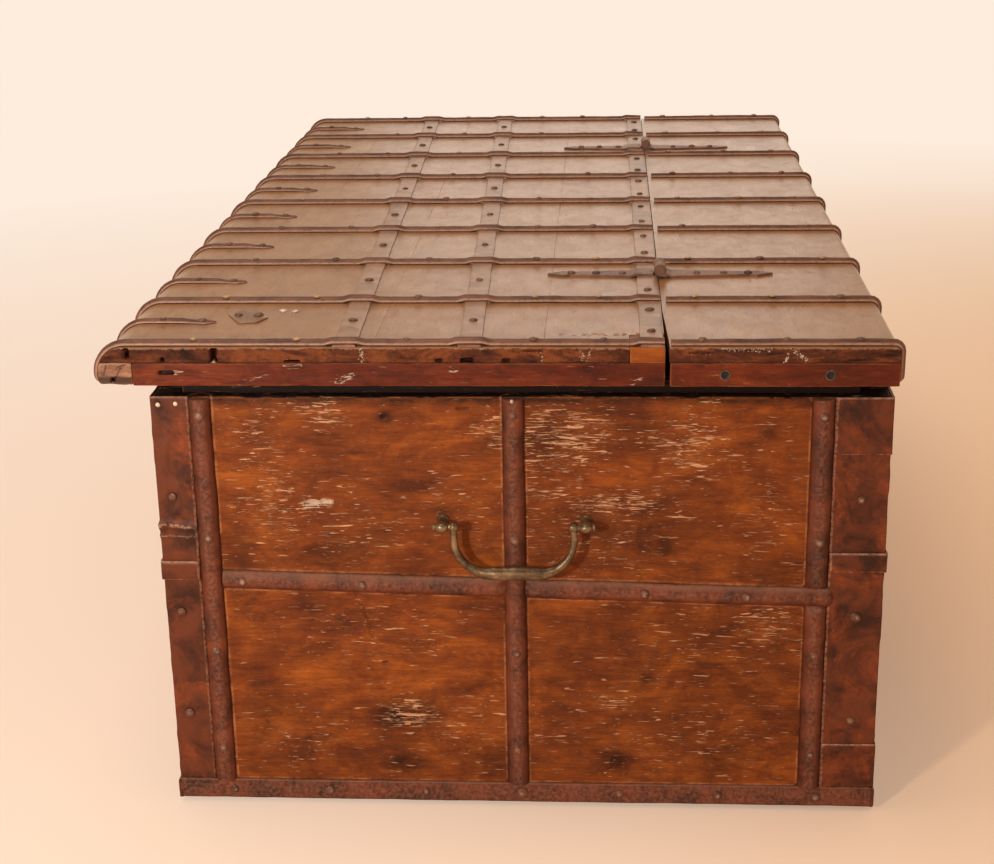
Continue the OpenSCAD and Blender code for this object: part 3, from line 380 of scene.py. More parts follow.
def bar_tree():
    """Forges a bar along each open line of points. A point gives the bar's width and height directions."""
    own = Maker("forged_bars", {
        "Step": 3 * MM, "Width": 12 * MM, "Height": 5 * MM, "Squareness": 2.0, "Under": 0.12, "Around": 24,
        "Wander": 0.6 * MM, "Swell": 0.08, "Dents": 0.35 * MM, "Dent Size": 12 * MM, "Seed": 1.0,
    })

    line = own.add("GeometryNodeMeshToCurve", {"Mesh": own.given("Geometry")})
    line = own.add("GeometryNodeResampleCurve", {"Curve": line, "Length": own.given("Step")}, mode="LENGTH")
    line = own.store(line, "centre", own.add("GeometryNodeInputPosition"))

    ring = own.add("GeometryNodeCurvePrimitiveCircle", {"Resolution": own.given("Around"), "Radius": 1.0})
    flat = own.add("ShaderNodeSeparateXYZ", {0: own.add("GeometryNodeInputPosition")})
    power = own.math("DIVIDE", 2.0, own.given("Squareness"))
    side = own.math("POWER", own.math("ABSOLUTE", own.out(flat, "X")), power)
    side = own.times(side, own.math("SIGN", own.out(flat, "X")))
    rise = own.math("POWER", own.math("ABSOLUTE", own.out(flat, "Y")), power)
    below = own.math("LESS_THAN", own.out(flat, "Y"), -0.0001)
    share = own.math("SUBTRACT", 1.0, own.times(below, own.plus(1.0, own.given("Under"))))
    rise = own.times(rise, share)
    outline = own.add("ShaderNodeCombineXYZ", {"X": side, "Y": rise})
    ring = own.add("GeometryNodeSetPosition", {"Geometry": ring, "Position": outline})
    ring = own.store(ring, "rim", own.add("GeometryNodeInputPosition"))

    skin = own.add("GeometryNodeCurveToMesh", {"Curve": line, "Profile Curve": ring, "Fill Caps": True})
    centre = own.named("centre")
    rim = own.add("ShaderNodeSeparateXYZ", {0: own.named("rim")})
    seed = own.given("Seed")
    wander = own.times(own.uneven(centre, 0.09, seed), own.given("Wander"))
    swell = own.times(own.uneven(centre, 0.035, own.plus(seed, 5.0)), own.given("Swell"))
    rises = own.times(own.uneven(centre, 0.05, own.plus(seed, 9.0)), own.given("Swell"))
    width = own.times(own.times(own.given("Width"), 0.5), own.named("w", "FLOAT"))
    width = own.times(width, own.plus(swell, 1.0))
    height = own.times(own.given("Height"), own.named("h", "FLOAT"))
    height = own.times(height, own.plus(rises, 1.0))
    aside = own.plus(own.times(own.out(rim, "X"), width), wander)
    over = own.times(own.out(rim, "Y"), height)
    place = own.vector("ADD", centre, own.scaled(own.named("across"), aside))
    place = own.vector("ADD", place, own.scaled(own.named("up"), over))
    skin = own.add("GeometryNodeSetPosition", {"Geometry": skin, "Position": place})
    dent = own.uneven(own.add("GeometryNodeInputPosition"), own.given("Dent Size"), own.plus(seed, 2.0), 3.0)
    dent = own.times(own.times(dent, own.given("Dents")), own.math("MAXIMUM", own.out(rim, "Y"), 0.15))
    skin = own.add("GeometryNodeSetPosition", {"Geometry": skin, "Offset": own.scaled(own.named("up"), dent)})
    # ridge, the height on the section, is where the finish paints a highlight on top and shade at the foot
    skin = own.store(skin, "ridge", own.math("MAXIMUM", own.out(rim, "Y"), 0.0), "FLOAT")
    own.close(skin)
    return own


# Height of a nail head's lower half as a share of its radius
NAIL_SINKS = 0.12


def nail_tree():
    """A hand-made nail head on each point, turned to the point's out direction, no two alike."""
    own = Maker("hand_made_nails", {
        "Radius": 4.5 * MM, "Height": 2.4 * MM, "Spread": 0.14, "Tilt": 0.12, "Lumps": 0.45 * MM, "Seed": 1,
    })

    def chance(least, most, shift):
        inputs = {"Min": least, "Max": most, "Seed": own.plus(own.given("Seed"), shift)}
        return own.out(own.add("FunctionNodeRandomValue", inputs, data_type="FLOAT"), "Value")

    ball = own.add("GeometryNodeMeshUVSphere", {"Segments": 18, "Rings": 12, "Radius": 1.0})
    at = own.add("ShaderNodeSeparateXYZ", {0: own.add("GeometryNodeInputPosition")})
    above = own.math("GREATER_THAN", own.out(at, "Z"), 0.0)
    tall = own.math("DIVIDE", own.given("Height"), own.given("Radius"))
    squash = own.plus(NAIL_SINKS, own.times(above, own.math("SUBTRACT", tall, NAIL_SINKS)))
    rise = own.times(own.out(at, "Z"), squash)
    place = own.add("ShaderNodeCombineXYZ", {"X": own.out(at, "X"), "Y": own.out(at, "Y"), "Z": rise})
    # ridge, the height on the head, is where the finish paints a highlight on top and shade at the rim
    ball = own.store(ball, "ridge", own.math("MAXIMUM", own.out(at, "Z"), 0.0), "FLOAT")
    ball = own.add("GeometryNodeSetPosition", {"Geometry": own.out(ball), "Position": place})
    turn = own.add("FunctionNodeAlignRotationToVector", {"Vector": own.named("out")}, axis="Z")
    chances = {"X": chance(-1.0, 1.0, 1), "Y": chance(-1.0, 1.0, 2), "Z": chance(0.0, 60.0, 3)}
    most = {"X": own.given("Tilt"), "Y": own.given("Tilt"), "Z": 1.0}
    lean = own.add("ShaderNodeCombineXYZ", chances)
    lean = own.vector("MULTIPLY", lean, own.add("ShaderNodeCombineXYZ", most))
    lean = own.add("FunctionNodeEulerToRotation", {0: lean})
    turn = own.add("FunctionNodeRotateRotation", {0: turn, 1: lean}, rotation_space="LOCAL")
    spread = own.times(chance(-1.0, 1.0, 4), own.given("Spread"))
    size = own.times(own.given("Radius"), own.plus(1.0, spread))
    heads = own.add("GeometryNodeInstanceOnPoints", {
        "Points": own.given("Geometry"), "Instance": ball, "Rotation": turn, "Scale": size})
    heads = own.store(heads, "tone", chance(0.0, 1.0, 6), "FLOAT", "INSTANCE")
    heads = own.add("GeometryNodeRealizeInstances", {"Geometry": heads})
    swell = own.uneven(own.add("GeometryNodeInputPosition"), 5.5 * MM, 3.0, 1.0)
    swell = own.scaled(own.add("GeometryNodeInputNormal"), own.times(swell, own.given("Lumps")))
    heads = own.add("GeometryNodeSetPosition", {"Geometry": heads, "Offset": swell})
    own.close(heads)
    return own


def path_mesh(paths):
    """One mesh of open lines.

    A station is its place, its width and height directions, and its width and height shares.
    """
    places, edges, columns = [], [], {"across": [], "up": [], "w": [], "h": []}
    for path in paths:
        first = len(places)
        for place, across, up, w, h in path:
            places.append([float(v) for v in place])
            columns["across"].append([float(v) for v in across])
            columns["up"].append([float(v) for v in up])
            columns["w"].append(w)
            columns["h"].append(h)
        edges += [(i, i + 1) for i in range(first, len(places) - 1)]
    mesh = bpy.data.meshes.new("lines")
    mesh.from_pydata(places, edges, [])
    for key, values in columns.items():
        vector = key in ("across", "up")
        own = mesh.attributes.new(key, "FLOAT_VECTOR" if vector else "FLOAT", "POINT")
        own.data.foreach_set("vector" if vector else "value", np.asarray(values, np.float32).ravel())
    return mesh


forge = bar_tree()
nailer = nail_tree()


def forged_bars(node, paths, material, body, slot, **values):
    """Bars along the paths in a node's place."""
    made = forge.run(path_mesh(paths), material=material, **values)
    return dress(node, made, material, body, (node,))


def nails(name, nodes, out, body, slot, material, extra=(), **values):
    """Heads at the nodes' nails. out is the direction that they face."""
    out = np.asarray(out, float)
    axis = int(np.abs(out).argmax())
    places = []
    for node in nodes:
        for corner_a, corner_b in solids(node):
            place = (corner_a + corner_b) / 2
            place[axis] = (corner_b if out[axis] > 0 else corner_a)[axis] - out[axis] * HEAD_H
            places.append(place)
    places += [np.asarray(own, float) for own in extra]
    mesh = bpy.data.meshes.new("sites")
    mesh.from_pydata([own.tolist() for own in places], [], [])
    mesh.attributes.new("out", "FLOAT_VECTOR", "POINT").data.foreach_set(
        "vector", np.tile(out, len(places)).astype(np.float32))
    made = nailer.run(mesh, material=material, **values)
    return dress(name, made, material, body, nodes)


# Finishes
def paint(red, green, blue):
    """A colour as it is seen on a screen, from 0 to 255, made linear."""
    shares = [value / 255 for value in (red, green, blue)]
    return tuple(s / 12.92 if s <= 0.04045 else ((s + 0.055) / 1.055) ** 2.4 for s in shares) + (1.0,)


class Finish(Nodes):
    """A material with one main shader, built up in layers of colour and relief."""

    def __init__(self, name, roughness=0.5, metallic=0.0, gloss=0.5):
        self.material = bpy.data.materials.new(name)
        self.material.use_nodes = True
        super().__init__(self.material.node_tree)
        self.tree.nodes.clear()
        self.shader = self.add(
            "ShaderNodeBsdfPrincipled",
            {"Roughness": roughness, "Metallic": metallic, "Specular IOR Level": gloss},
        )
        self.add("ShaderNodeOutputMaterial", {"Surface": self.shader})
        coordinates = self.add("ShaderNodeTexCoord")
        self.place = self.out(coordinates, "Object")
        self.skyward = self.out(coordinates, "Normal")

    def attribute(self, name):
        return self.out(self.add("ShaderNodeAttribute", attribute_name=name), "Fac")

    def stretched(self, scale, shift=(0, 0, 0)):
        return self.add("ShaderNodeMapping", {"Vector": self.place, "Scale": scale, "Location": shift})

    def noise(self, size, detail=3.0, grit=0.55, stretch=(1, 1, 1), shift=(0, 0, 0), bend=0.0):
        """Noise whose features are about size metres, longer along an axis whose stretch is above 1."""
        scale = tuple(1 / (size * own) for own in stretch)
        inputs = {"Vector": self.stretched(scale, shift), "Scale": 1.0, "Detail": detail,
                  "Roughness": grit, "Distortion": bend}
        return self.out(self.add("ShaderNodeTexNoise", inputs), 0)

    def cells(self, size, shift=(0, 0, 0)):
        inputs = {"Vector": self.stretched((1 / size,) * 3, shift), "Scale": 1.0, "Smoothness": 0.6}
        return self.out(self.add("ShaderNodeTexVoronoi", inputs, feature="SMOOTH_F1"), "Distance")

    def mix(self, share, a, b, blend="MIX"):
        inputs = {"Factor": share, "A": a, "B": b}
        return self.out(self.add("ShaderNodeMix", inputs, data_type="RGBA", blend_type=blend), "Result")

    def ramp(self, value, stops):
        node = self.add("ShaderNodeValToRGB", {"Fac": value})
        band = node.color_ramp
        while len(band.elements) < len(stops):
            band.elements.new(0.5)
        for element, (at, colour) in zip(band.elements, stops):
            element.position = at
            element.color = colour
        return self.out(node, "Color")

    def relief(self, height, depth):
        bump = self.add("ShaderNodeBump", {"Height": height, "Strength": 1.0, "Distance": depth})
        self.tree.links.new(self.out(bump), self.shader.inputs["Normal"])

    def colour(self, value):
        self.tree.links.new(value, self.shader.inputs["Base Color"])

    def roughness(self, value):
        self.tree.links.new(self.out(value), self.shader.inputs["Roughness"])


GRAIN = {"X": (9.0, 1.0, 1.0), "Y": (1.0, 9.0, 1.0), "Z": (1.0, 1.0, 9.0)}


def timber(name, grain, dark, middle, light, seed, red=None, roughness=(0.45, 0.65), gloss=0.3,
           scratch=None, dust=None, worn=None, contrast=1.0, cut=None, marks=None, depth=0.5):
    """Wood with its figure along one axis, blotches, pores, stains, scratches, painted shade, and painted
    shade and pale dust beside the irons.
    """
    finish = Finish(name, gloss=gloss)
    shift = (seed * 3.7, seed * 1.9, seed * 5.3)

    def along(factor):
        return tuple(factor if own > 1 else 1.0 for own in GRAIN[grain])

    figure = finish.noise(0.011, 6.0, 0.66, along(4.5), shift, 0.6)
    fibre = finish.noise(0.0016, 3.0, 0.6, along(18.0), shift, 0.3)
    blotch = finish.noise(0.055, 6.0, 0.66, along(1.5), shift, 0.7)
    patch = finish.noise(0.03, 6.0, 0.72, along(1.2), shift, 0.8)
    tone = finish.plus(finish.times(figure, 0.4), finish.times(blotch, 0.6))
    half = 0.14 / contrast
    colour = finish.ramp(tone, [(0.5 - half, dark), (0.5, middle), (0.5 + half, light)])
    if red:
        colour = finish.mix(finish.spread(patch, 0.5, 0.68, 0.0, 0.65), colour, red)
    streak = finish.spread(fibre, 0.3, 0.7, 1 - 0.2 * contrast, 1 + 0.14 * contrast)
    grey = finish.add("ShaderNodeCombineXYZ", {0: streak, 1: streak, 2: streak})
    colour = finish.mix(1.0, colour, grey, "MULTIPLY")
    pores = finish.noise(0.0011, 2.0, 0.5, along(12.0), shift)
    pits = finish.spread(pores, 0.66, 0.76)
    colour = finish.mix(finish.times(pits, 0.45 * contrast), colour, dark)
    height = finish.math("SUBTRACT", finish.times(fibre, 0.5), finish.times(pits, 0.6))
    if cut:
        colour = end_grain(finish, colour, cut, shift)
    spread_out = finish.spread(patch, 0.36, 0.56, 0.4, 1.0)
    # This darkening holds real stains and painted shade: the recess below the lid, the walls' tops, wide
    # faint patches on the end panels and the hollows of slots
    stain = finish.times(finish.attribute("stain"), spread_out, clamp=True)
    colour = finish.mix(stain, colour, paint(28, 13, 8))
    if worn:
        rubbed = finish.times(finish.attribute("worn"), finish.spread(patch, 0.4, 0.62))
        colour = finish.mix(rubbed, colour, worn)
    if marks:
        dash = finish.noise(0.0016, 2.0, 0.5, marks, shift, 0.3)
        dash = finish.times(finish.spread(dash, 0.72, 0.76), finish.spread(blotch, 0.46, 0.58))
        colour = finish.mix(finish.times(dash, 0.7), colour, paint(58, 34, 26))
        height = finish.math("SUBTRACT", height, dash)
    if scratch:
        colour, height = scratched(finish, colour, height, scratch, along, shift)
    torn = finish.plus(finish.attribute("bare"), finish.times(fibre, 1.4))
    torn = finish.plus(torn, finish.times(pores, 0.8))
    colour = finish.mix(finish.spread(torn, 1.5, 1.66, 0.0, 0.8), colour, paint(206, 182, 158))
    gap = finish.attribute("gap")
    # Painted shade in a thin line beside the irons
    colour = finish.mix(finish.spread(gap, 1.6 * MM, 0.0, 0.0, 0.5), colour, paint(40, 22, 15))
    if dust:
        crumb = finish.noise(0.008, 4.0, 0.65, (1, 1, 1), shift)
        rim = finish.times(finish.spread(gap, 0.3 * MM, 0.9 * MM), finish.spread(gap, 2.8 * MM, 1.6 * MM))
        rim = finish.times(rim, finish.spread(crumb, 0.36, 0.6, 0.15, 1.0))
        rim = finish.times(rim, finish.spread(blotch, 0.42, 0.54))
        colour = finish.mix(finish.times(rim, 0.55), colour, dust)
    finish.colour(colour)
    finish.roughness(finish.spread(patch, 0.35, 0.7, roughness[0], roughness[1]))
    finish.relief(height, depth * MM)
    return finish.material


def end_grain(finish, colour, cut, shift):
    """A board's sawn end: darker and rougher, with pale dust along its upper rim and painted shade at its
    foot.
    """
    dark, middle, light = cut
    cloud = finish.noise(0.03, 6.0, 0.7, (1, 1.6, 0.5), shift, 0.5)
    grit = finish.noise(0.0035, 4.0, 0.7, (1, 1.5, 1), shift)
    sawn = finish.ramp(cloud, [(0.36, dark), (0.5, middle), (0.62, light)])
    sawn = finish.mix(finish.spread(grit, 0.52, 0.66, 0.0, 0.55), sawn, dark)
    rim = finish.plus(finish.attribute("rim"), finish.times(grit, -7 * MM))
    rim = finish.plus(rim, finish.times(cloud, -6 * MM))
    rim = finish.times(finish.spread(rim, -8.4 * MM, -6.8 * MM), 0.6)
    sawn = finish.mix(rim, sawn, paint(170, 128, 104))
    # Painted shade along the bottom of the sawn end
    under = DECK_UNDER - DECK_TOP
    foot = finish.spread(finish.attribute("rim"), under + 1.8 * MM, under + 0.4 * MM)
    sawn = finish.mix(finish.times(foot, 0.7), sawn, paint(40, 18, 12))
    return finish.mix(finish.attribute("cut"), colour, sawn)


def scratched(finish, colour, height, scratch, along, shift):
    """Short pale scratches along the grain, thick where the fleck value is high."""
    fleck = finish.attribute("fleck")
    kinds = ((0.0024, 10.0, 0.69, 0.7), (0.0015, 10.0, 0.69, 0.65), (0.001, 12.0, 0.7, 0.4))
    for size, stretch, level, strength in kinds:
        wave = finish.noise(size, 2.5, 0.55, along(stretch), tuple(own + size * 900 for own in shift), 0.7)
        gate = finish.math("SUBTRACT", level, finish.times(fleck, 0.125))
        marks = finish.spread(finish.math("SUBTRACT", wave, gate), 0.0, 0.04)
        marks = finish.times(marks, finish.spread(fleck, 0.0, 0.5, 0.45, 1.0))
        colour = finish.mix(finish.times(marks, strength), colour, scratch)
        height = finish.plus(height, marks)
    return colour, height


def forged(name, dark, middle, rust, ridge, seed, roughness=(0.38, 0.62), metallic=0.35, dents=0.9, rusty=0.5,
           ridged=0.5, hollows=0.6, bright=None, gloss=0.5, dusty=0.0, shoulder=None):
    """Hammered iron: dark skin, rust in patches, a rubbed ridge with a painted highlight, painted shade at a
    bar's foot and shallow dents.

    bright colours some nails, shoulder paints a highlight on a bar's flanks, hollows is how much
    shade is painted at a bar's foot, and dusty is how much pale dust and painted top light
    lie on faces that look up.
    """
    finish = Finish(name, metallic=metallic, gloss=gloss)
    shift = (seed * 2.3, seed * 4.1, seed * 1.7)
    cloud = finish.noise(0.035, 5.0, 0.62, shift=shift, bend=0.6)
    grit = finish.noise(0.004, 4.0, 0.7, shift=shift)
    colour = finish.ramp(cloud, [(0.36, dark), (0.6, middle)])
    patches = finish.noise(0.05, 6.0, 0.7, shift=(shift[1], shift[2], shift[0]), bend=0.8)
    flakes = finish.times(finish.spread(patches, 0.5, 0.66), finish.spread(grit, 0.3, 0.62, 0.3, 1.0))
    colour = finish.mix(finish.times(flakes, rusty), colour, rust)
    # The rubbed ridge: wear with a painted highlight along a bar's top
    rubbed = finish.times(finish.spread(finish.attribute("ridge"), 0.78, 1.0), finish.spread(grit, 0.4, 0.66))
    colour = finish.mix(finish.times(rubbed, ridged), colour, ridge)
    # Painted shade at a bar's foot, where it meets the surface below
    foot_shade = finish.times(finish.spread(finish.attribute("ridge"), 0.25, 0.02), hollows)
    if shoulder:
        # Painted highlight along a bar's flanks
        above = finish.spread(finish.attribute("ridge"), 0.12, 0.26)
        below = finish.spread(finish.attribute("ridge"), 0.66, 0.4)
        flank = finish.times(above, below)
        flank = finish.times(flank, finish.spread(grit, 0.3, 0.55, 0.4, 1.0))
        colour = finish.mix(finish.times(flank, 0.7), colour, shoulder)
    if dusty:
        # Pale dust and painted top light on faces that look up
        level = finish.out(finish.add("ShaderNodeSeparateXYZ", {0: finish.skyward}), "Z")
        level = finish.times(finish.spread(level, 0.3, 0.75), finish.spread(grit, 0.3, 0.55, 0.5, 1.0))
        foot_shade = finish.times(foot_shade, finish.math("SUBTRACT", 1.0, level))
        colour = finish.mix(finish.times(level, dusty), colour, paint(196, 146, 118))
    colour = finish.mix(foot_shade, colour, paint(30, 18, 14))
    if bright:
        chosen = finish.spread(finish.attribute("tone"), 0.35, 0.6)
        level = finish.out(finish.add("ShaderNodeSeparateXYZ", {0: finish.place}), "Z")
        top = finish.spread(level, DECK_TOP + 5.4 * MM, DECK_TOP + 6.6 * MM)
        colour = finish.mix(finish.times(finish.times(chosen, top), 0.65), colour, bright)
    finish.colour(colour)
    finish.roughness(finish.spread(grit, 0.3, 0.7, roughness[0], roughness[1]))
    hammer = finish.plus(finish.cells(0.024, shift), finish.times(grit, 0.14))
    finish.relief(hammer, dents * MM)
    return finish.material


def bronze(name, seed):
    """Old yellow metal in random patches of dull brown and brighter yellow, with reddish stains."""
    finish = Finish(name, metallic=0.75)
    shift = (seed * 3.1, seed * 2.2, seed * 0.7)
    cloud = finish.noise(0.018, 5.0, 0.6, shift=shift, bend=0.4)
    grit = finish.noise(0.0025, 3.0, 0.6, shift=shift)
    tones = [(0.34, paint(72, 54, 40)), (0.52, paint(118, 94, 68)), (0.68, paint(160, 136, 104))]
    colour = finish.ramp(cloud, tones)
    stain = finish.spread(finish.noise(0.03, 4.0, 0.6, shift=(shift[2], shift[0], shift[1])), 0.56, 0.66)
    colour = finish.mix(finish.times(stain, 0.45), colour, paint(112, 62, 34))
    finish.colour(colour)
    finish.roughness(finish.spread(cloud, 0.35, 0.7, 0.42, 0.28))
    finish.relief(finish.plus(grit, finish.times(cloud, 1.5)), 0.35 * MM)
    return finish.material


DUST = paint(186, 122, 82)
end_wood = timber(
    "end_board_wood", "Y", paint(80, 37, 18), paint(119, 58, 22), paint(154, 81, 27), 1,
    red=paint(97, 42, 20), scratch=paint(222, 170, 132), dust=DUST, worn=paint(170, 96, 46), gloss=0.12,
)
side_wood = timber(
    "side_board_wood", "X", paint(79, 37, 18), paint(121, 60, 22), paint(152, 81, 28), 2,
    red=paint(97, 42, 20), scratch=paint(222, 170, 132), dust=DUST, worn=paint(166, 95, 46), gloss=0.12,
)
lid_wood = timber(
    "lid_board_wood", "X", paint(116, 71, 38), paint(142, 91, 48), paint(158, 106, 58), 3,
    red=paint(134, 80, 44), roughness=(0.27, 0.37), contrast=0.6, gloss=0.75, marks=(1, 7, 1), depth=0.22,
)
lid_end_wood = timber(
    "lid_board_ends", "X", paint(112, 70, 38), paint(138, 88, 48), paint(154, 102, 58), 9,
    roughness=(0.6, 0.85), gloss=0.1, cut=(paint(44, 24, 17), paint(85, 45, 29), paint(118, 64, 35)),
)
rail_wood = timber(
    "end_rail_wood", "Y", paint(62, 23, 12), paint(95, 36, 16), paint(122, 53, 21), 4,
    red=paint(70, 32, 21), scratch=paint(200, 150, 120), dust=DUST, worn=paint(160, 92, 54), gloss=0.15,
)
nosing_wood = timber(
    "nosing_wood", "X", paint(80, 54, 38), paint(128, 88, 62), paint(160, 118, 88), 5,
    dust=paint(196, 168, 140), worn=paint(172, 134, 104), roughness=(0.6, 0.85),
    cut=(paint(104, 72, 54), paint(154, 110, 84), paint(184, 140, 112)),
)
mending_wood = timber(
    "mending_block_wood", "Y", paint(94, 42, 14), paint(133, 66, 21), paint(160, 86, 29), 6,
    worn=paint(190, 116, 56), gloss=0.15,
)
inner_wood = timber(
    "inner_wood", "X", paint(78, 46, 28), paint(108, 68, 42), paint(138, 92, 60), 7,
    roughness=(0.6, 0.85), gloss=0.2,
)
case_iron = forged(
    "case_strap_iron", paint(60, 28, 18), paint(104, 51, 31), paint(132, 62, 30), paint(190, 146, 124), 1,
    roughness=(0.48, 0.64), metallic=0.15, dents=0.8, rusty=0.45, ridged=0.2, hollows=0.45, gloss=0.2,
    dusty=0.3,
)
sheet_iron = forged(
    "corner_sheet_iron", paint(56, 27, 17), paint(100, 49, 28), paint(146, 68, 30), paint(206, 162, 134), 2,
    roughness=(0.42, 0.6), metallic=0.1, dents=0.6, rusty=0.7, ridged=0.7, gloss=0.2, dusty=0.5,
)
lid_iron = forged(
    "lid_strap_iron", paint(74, 42, 27), paint(108, 68, 46), paint(116, 64, 40), paint(150, 108, 84), 3,
    roughness=(0.4, 0.54), metallic=0.1, dents=0.5, rusty=0.35, ridged=0.2, hollows=0.8, gloss=0.3,
    shoulder=paint(186, 142, 116),
)
lid_flat_iron = forged(
    "lid_flat_strap_iron", paint(110, 72, 49), paint(152, 108, 79), paint(142, 84, 54), paint(184, 146, 120),
    10, roughness=(0.3, 0.42), metallic=0.1, dents=0.5, rusty=0.35, ridged=0.3, hollows=0.8,
)
nail_iron = forged(
    "nail_iron", paint(66, 38, 28), paint(106, 66, 48), paint(140, 78, 44), paint(206, 170, 146), 4,
    metallic=0.25, dents=0.4, ridged=0.6, gloss=0.3,
)
lid_nail_iron = forged(
    "lid_nail_iron", paint(76, 48, 36), paint(116, 80, 58), paint(120, 76, 48), paint(190, 152, 112), 8,
    metallic=0.3, dents=0.4, ridged=0.5, bright=paint(204, 164, 112),
)
plain_iron = forged(
    "plain_iron", paint(88, 56, 42), paint(130, 90, 68), paint(134, 74, 46), paint(176, 140, 120), 5,
    metallic=0.2, dents=0.4, hollows=0.0,
)
bolt_iron = forged(
    "bolt_iron", paint(44, 34, 30), paint(72, 58, 50), paint(80, 52, 36), paint(150, 134, 122), 11,
    metallic=0.2, dents=0.3, hollows=0.9, ridged=0.9, gloss=0.3,
)
tack_iron = forged(
    "bright_tack_iron", paint(176, 146, 122), paint(216, 190, 166), paint(170, 120, 84), paint(236, 216, 196),
    12, metallic=0.3, dents=0.3, rusty=0.3,
)
bail_bronze = bronze("bail_bronze", 1)


# Boards
def board_part(corner_a, corner_b, step, edge, grain=0, warp=0.6, ripple=0.12, irons=(), extra=((), (), ()),
               shape=None, marks=None, cuts=(), stain=0.0, raw=(0, 0, 0), seed=0):
    """A worn board between two corners: its points, faces and values for the finish.

    irons are strips with painted shade and, on some woods, pale dust beside them, cuts are ragged slots,
    and raw is the direction that the unpolished side looks in.
    """
    extra = [list(own) for own in extra]
    for middle, along, length, width, *_ in cuts:
        thin = 2 if abs(along[1]) > 0.5 else 1
        extra[thin] += [middle[thin] + share * width for share in (-0.55, -0.35, 0, 0.35, 0.55)]
        extra[3 - thin] += [middle[3 - thin] + share * length for share in (-0.5, -0.4, 0.4, 0.5)]
    points, faces, out, wear = board_mesh(corner_a, corner_b, step, edge, extra)
    long_size = np.array([30 * MM] * 3)
    long_size[grain] = 260 * MM
    bow = lumps(points, 0.3, seed) * warp * MM
    fine = rough(points, long_size * 0.2, seed + 3) * ripple * MM
    points = points + out * (fine - np.abs(bow) * 0.5)[:, None]
    count = len(points)
    values = {
        "worn": np.clip(wear * 3.4, 0, 1),
        "gap": np.ones(count),
        "fleck": np.zeros(count),
        "stain": np.full(count, stain),
        "bare": np.zeros(count),
        "cut": np.where(np.abs(out[:, 0]) > 0.6, 1.0, 0.0),
        "rim": points[:, 2] - corner_b[2],
        "raw": np.where(out @ np.array(raw, float) > 0.6, 1.0, 0.0),
    }
    for start, end, half_width in irons:
        values["gap"] = np.minimum(values["gap"], off_strip(points, start, end, half_width))
    if marks:
        marks(points, values)
    if shape:
        points = shape(points)
    points = carved(points, out, values, cuts)
    return points, faces, values


def carved(points, out, values, cuts):
    """Points moved in over ragged slots.

    A slot has a middle, direction, length, width, depth, darkness and bareness.
    """
    for i, (middle, along, length, width, depth, dark, bare) in enumerate(cuts):
        middle, along = np.asarray(middle, float), np.asarray(along, float)
        half = max(length - width, 0) / 2
        gap = off_strip(points, middle - along * half, middle + along * half, 0)
        edge = width / 2 * (1 + 0.3 * rough(points, 7 * MM, i + 3))
        share = np.clip(2.2 * (1 - gap / edge), 0, 1) * (out[:, 0] > 0.8)
        points = points - out * (share * depth)[:, None]
        # A slot's darkness is painted shade in its hollow
        values["stain"] = np.maximum(values["stain"], share * dark)
        halo = spot(gap, width * 0.5 + 4 * MM) * (out[:, 0] > 0.8)
        values["bare"] = np.maximum(values["bare"] * (1 - share * dark), halo * bare * (1 - share * dark))
    return points


def joined(parts):
    """One mesh's points, faces and values from those of several parts."""
    starts = np.cumsum([0] + [len(own[0]) for own in parts])
    points = np.concatenate([own[0] for own in parts])
    faces = [[index + start for index in face] for own, start in zip(parts, starts) for face in own[1]]
    values = {key: np.concatenate([own[2][key] for own in parts]) for key in parts[0][2]}
    return points, faces, values


def closed_piece(node, parts, material, body):
    """One piece from closed shells in a node's place."""
    points, faces, values = joined(parts)
    outward(make_piece(node, points, faces, material, body, (node,), values).data)


def second_finish(piece, faces, chosen, material):
    """Gives the faces whose corners are all chosen another material."""
    where = chosen[np.array(faces)].min(axis=1) > 0.5
    if not where.any():
        return
    mesh = piece.data
    mesh.materials.append(material)
    index = np.empty(len(faces), np.int32)
    mesh.polygons.foreach_get("material_index", index)
    index[where] = len(mesh.materials) - 1
    mesh.polygons.foreach_set("material_index", index)


def boards_piece(name, node, parts, body, material):
    """One piece from boards in a node's place, with plain wood on the sides that were never polished."""
    points, faces, values = joined(parts)
    piece = make_piece(name, points, faces, material, body, (node,), values)
    second_finish(piece, faces, values["raw"], inner_wood)
    return piece, faces, values


def board(node, body, material, slot, corners=None, ends=None, **form):
    """A board, or several alike, in a node's place.

    corners are the pairs that they lie between, and ends is the material of their sawn ends.
    """
    first = form.pop("seed")
    parts = [
        board_part(corner_a, corner_b, seed=first + i, **form)
        for i, (corner_a, corner_b) in enumerate(corners or solids(node))
    ]
    piece, faces, values = boards_piece(node, node, parts, body, material)
    if ends:
        second_finish(piece, faces, values["cut"], ends)


FIRST_UPRIGHT = solids("right_end_uprights")[0]
UPRIGHT_HALF = (FIRST_UPRIGHT[1][1] - FIRST_UPRIGHT[0][1]) / 2
BAND_HALF = 9.75 * MM


def band_height(node, y):
    """Height of a slanting end band's middle line."""
    return high(node)[2] - BAND_HALF - (y - low(node)[1]) * math.tan(BAND_SLANT)


def end_irons(side, name):
    """Strips that the irons of an end panel cover."""
    x = side * END_X
    strips = []
    for corner_a, corner_b in solids(f"{name}_end_uprights"):
        y = (corner_a[1] + corner_b[1]) / 2
        strips.append(([x, y, WALL_FOOT], [x, y, WALL_TOP], UPRIGHT_HALF))
    band = f"{name}_mid_band"
    band_ends = [[x, y, band_height(band, y)] for y in (low(band)[1], high(band)[1])]
    strips.append((*band_ends, BAND_HALF))
    foot = high("end_foot_bands")[2]
    strips.append(([x, FRONT_Y, foot / 2], [x, BACK_Y, foot / 2], foot / 2))
    return strips


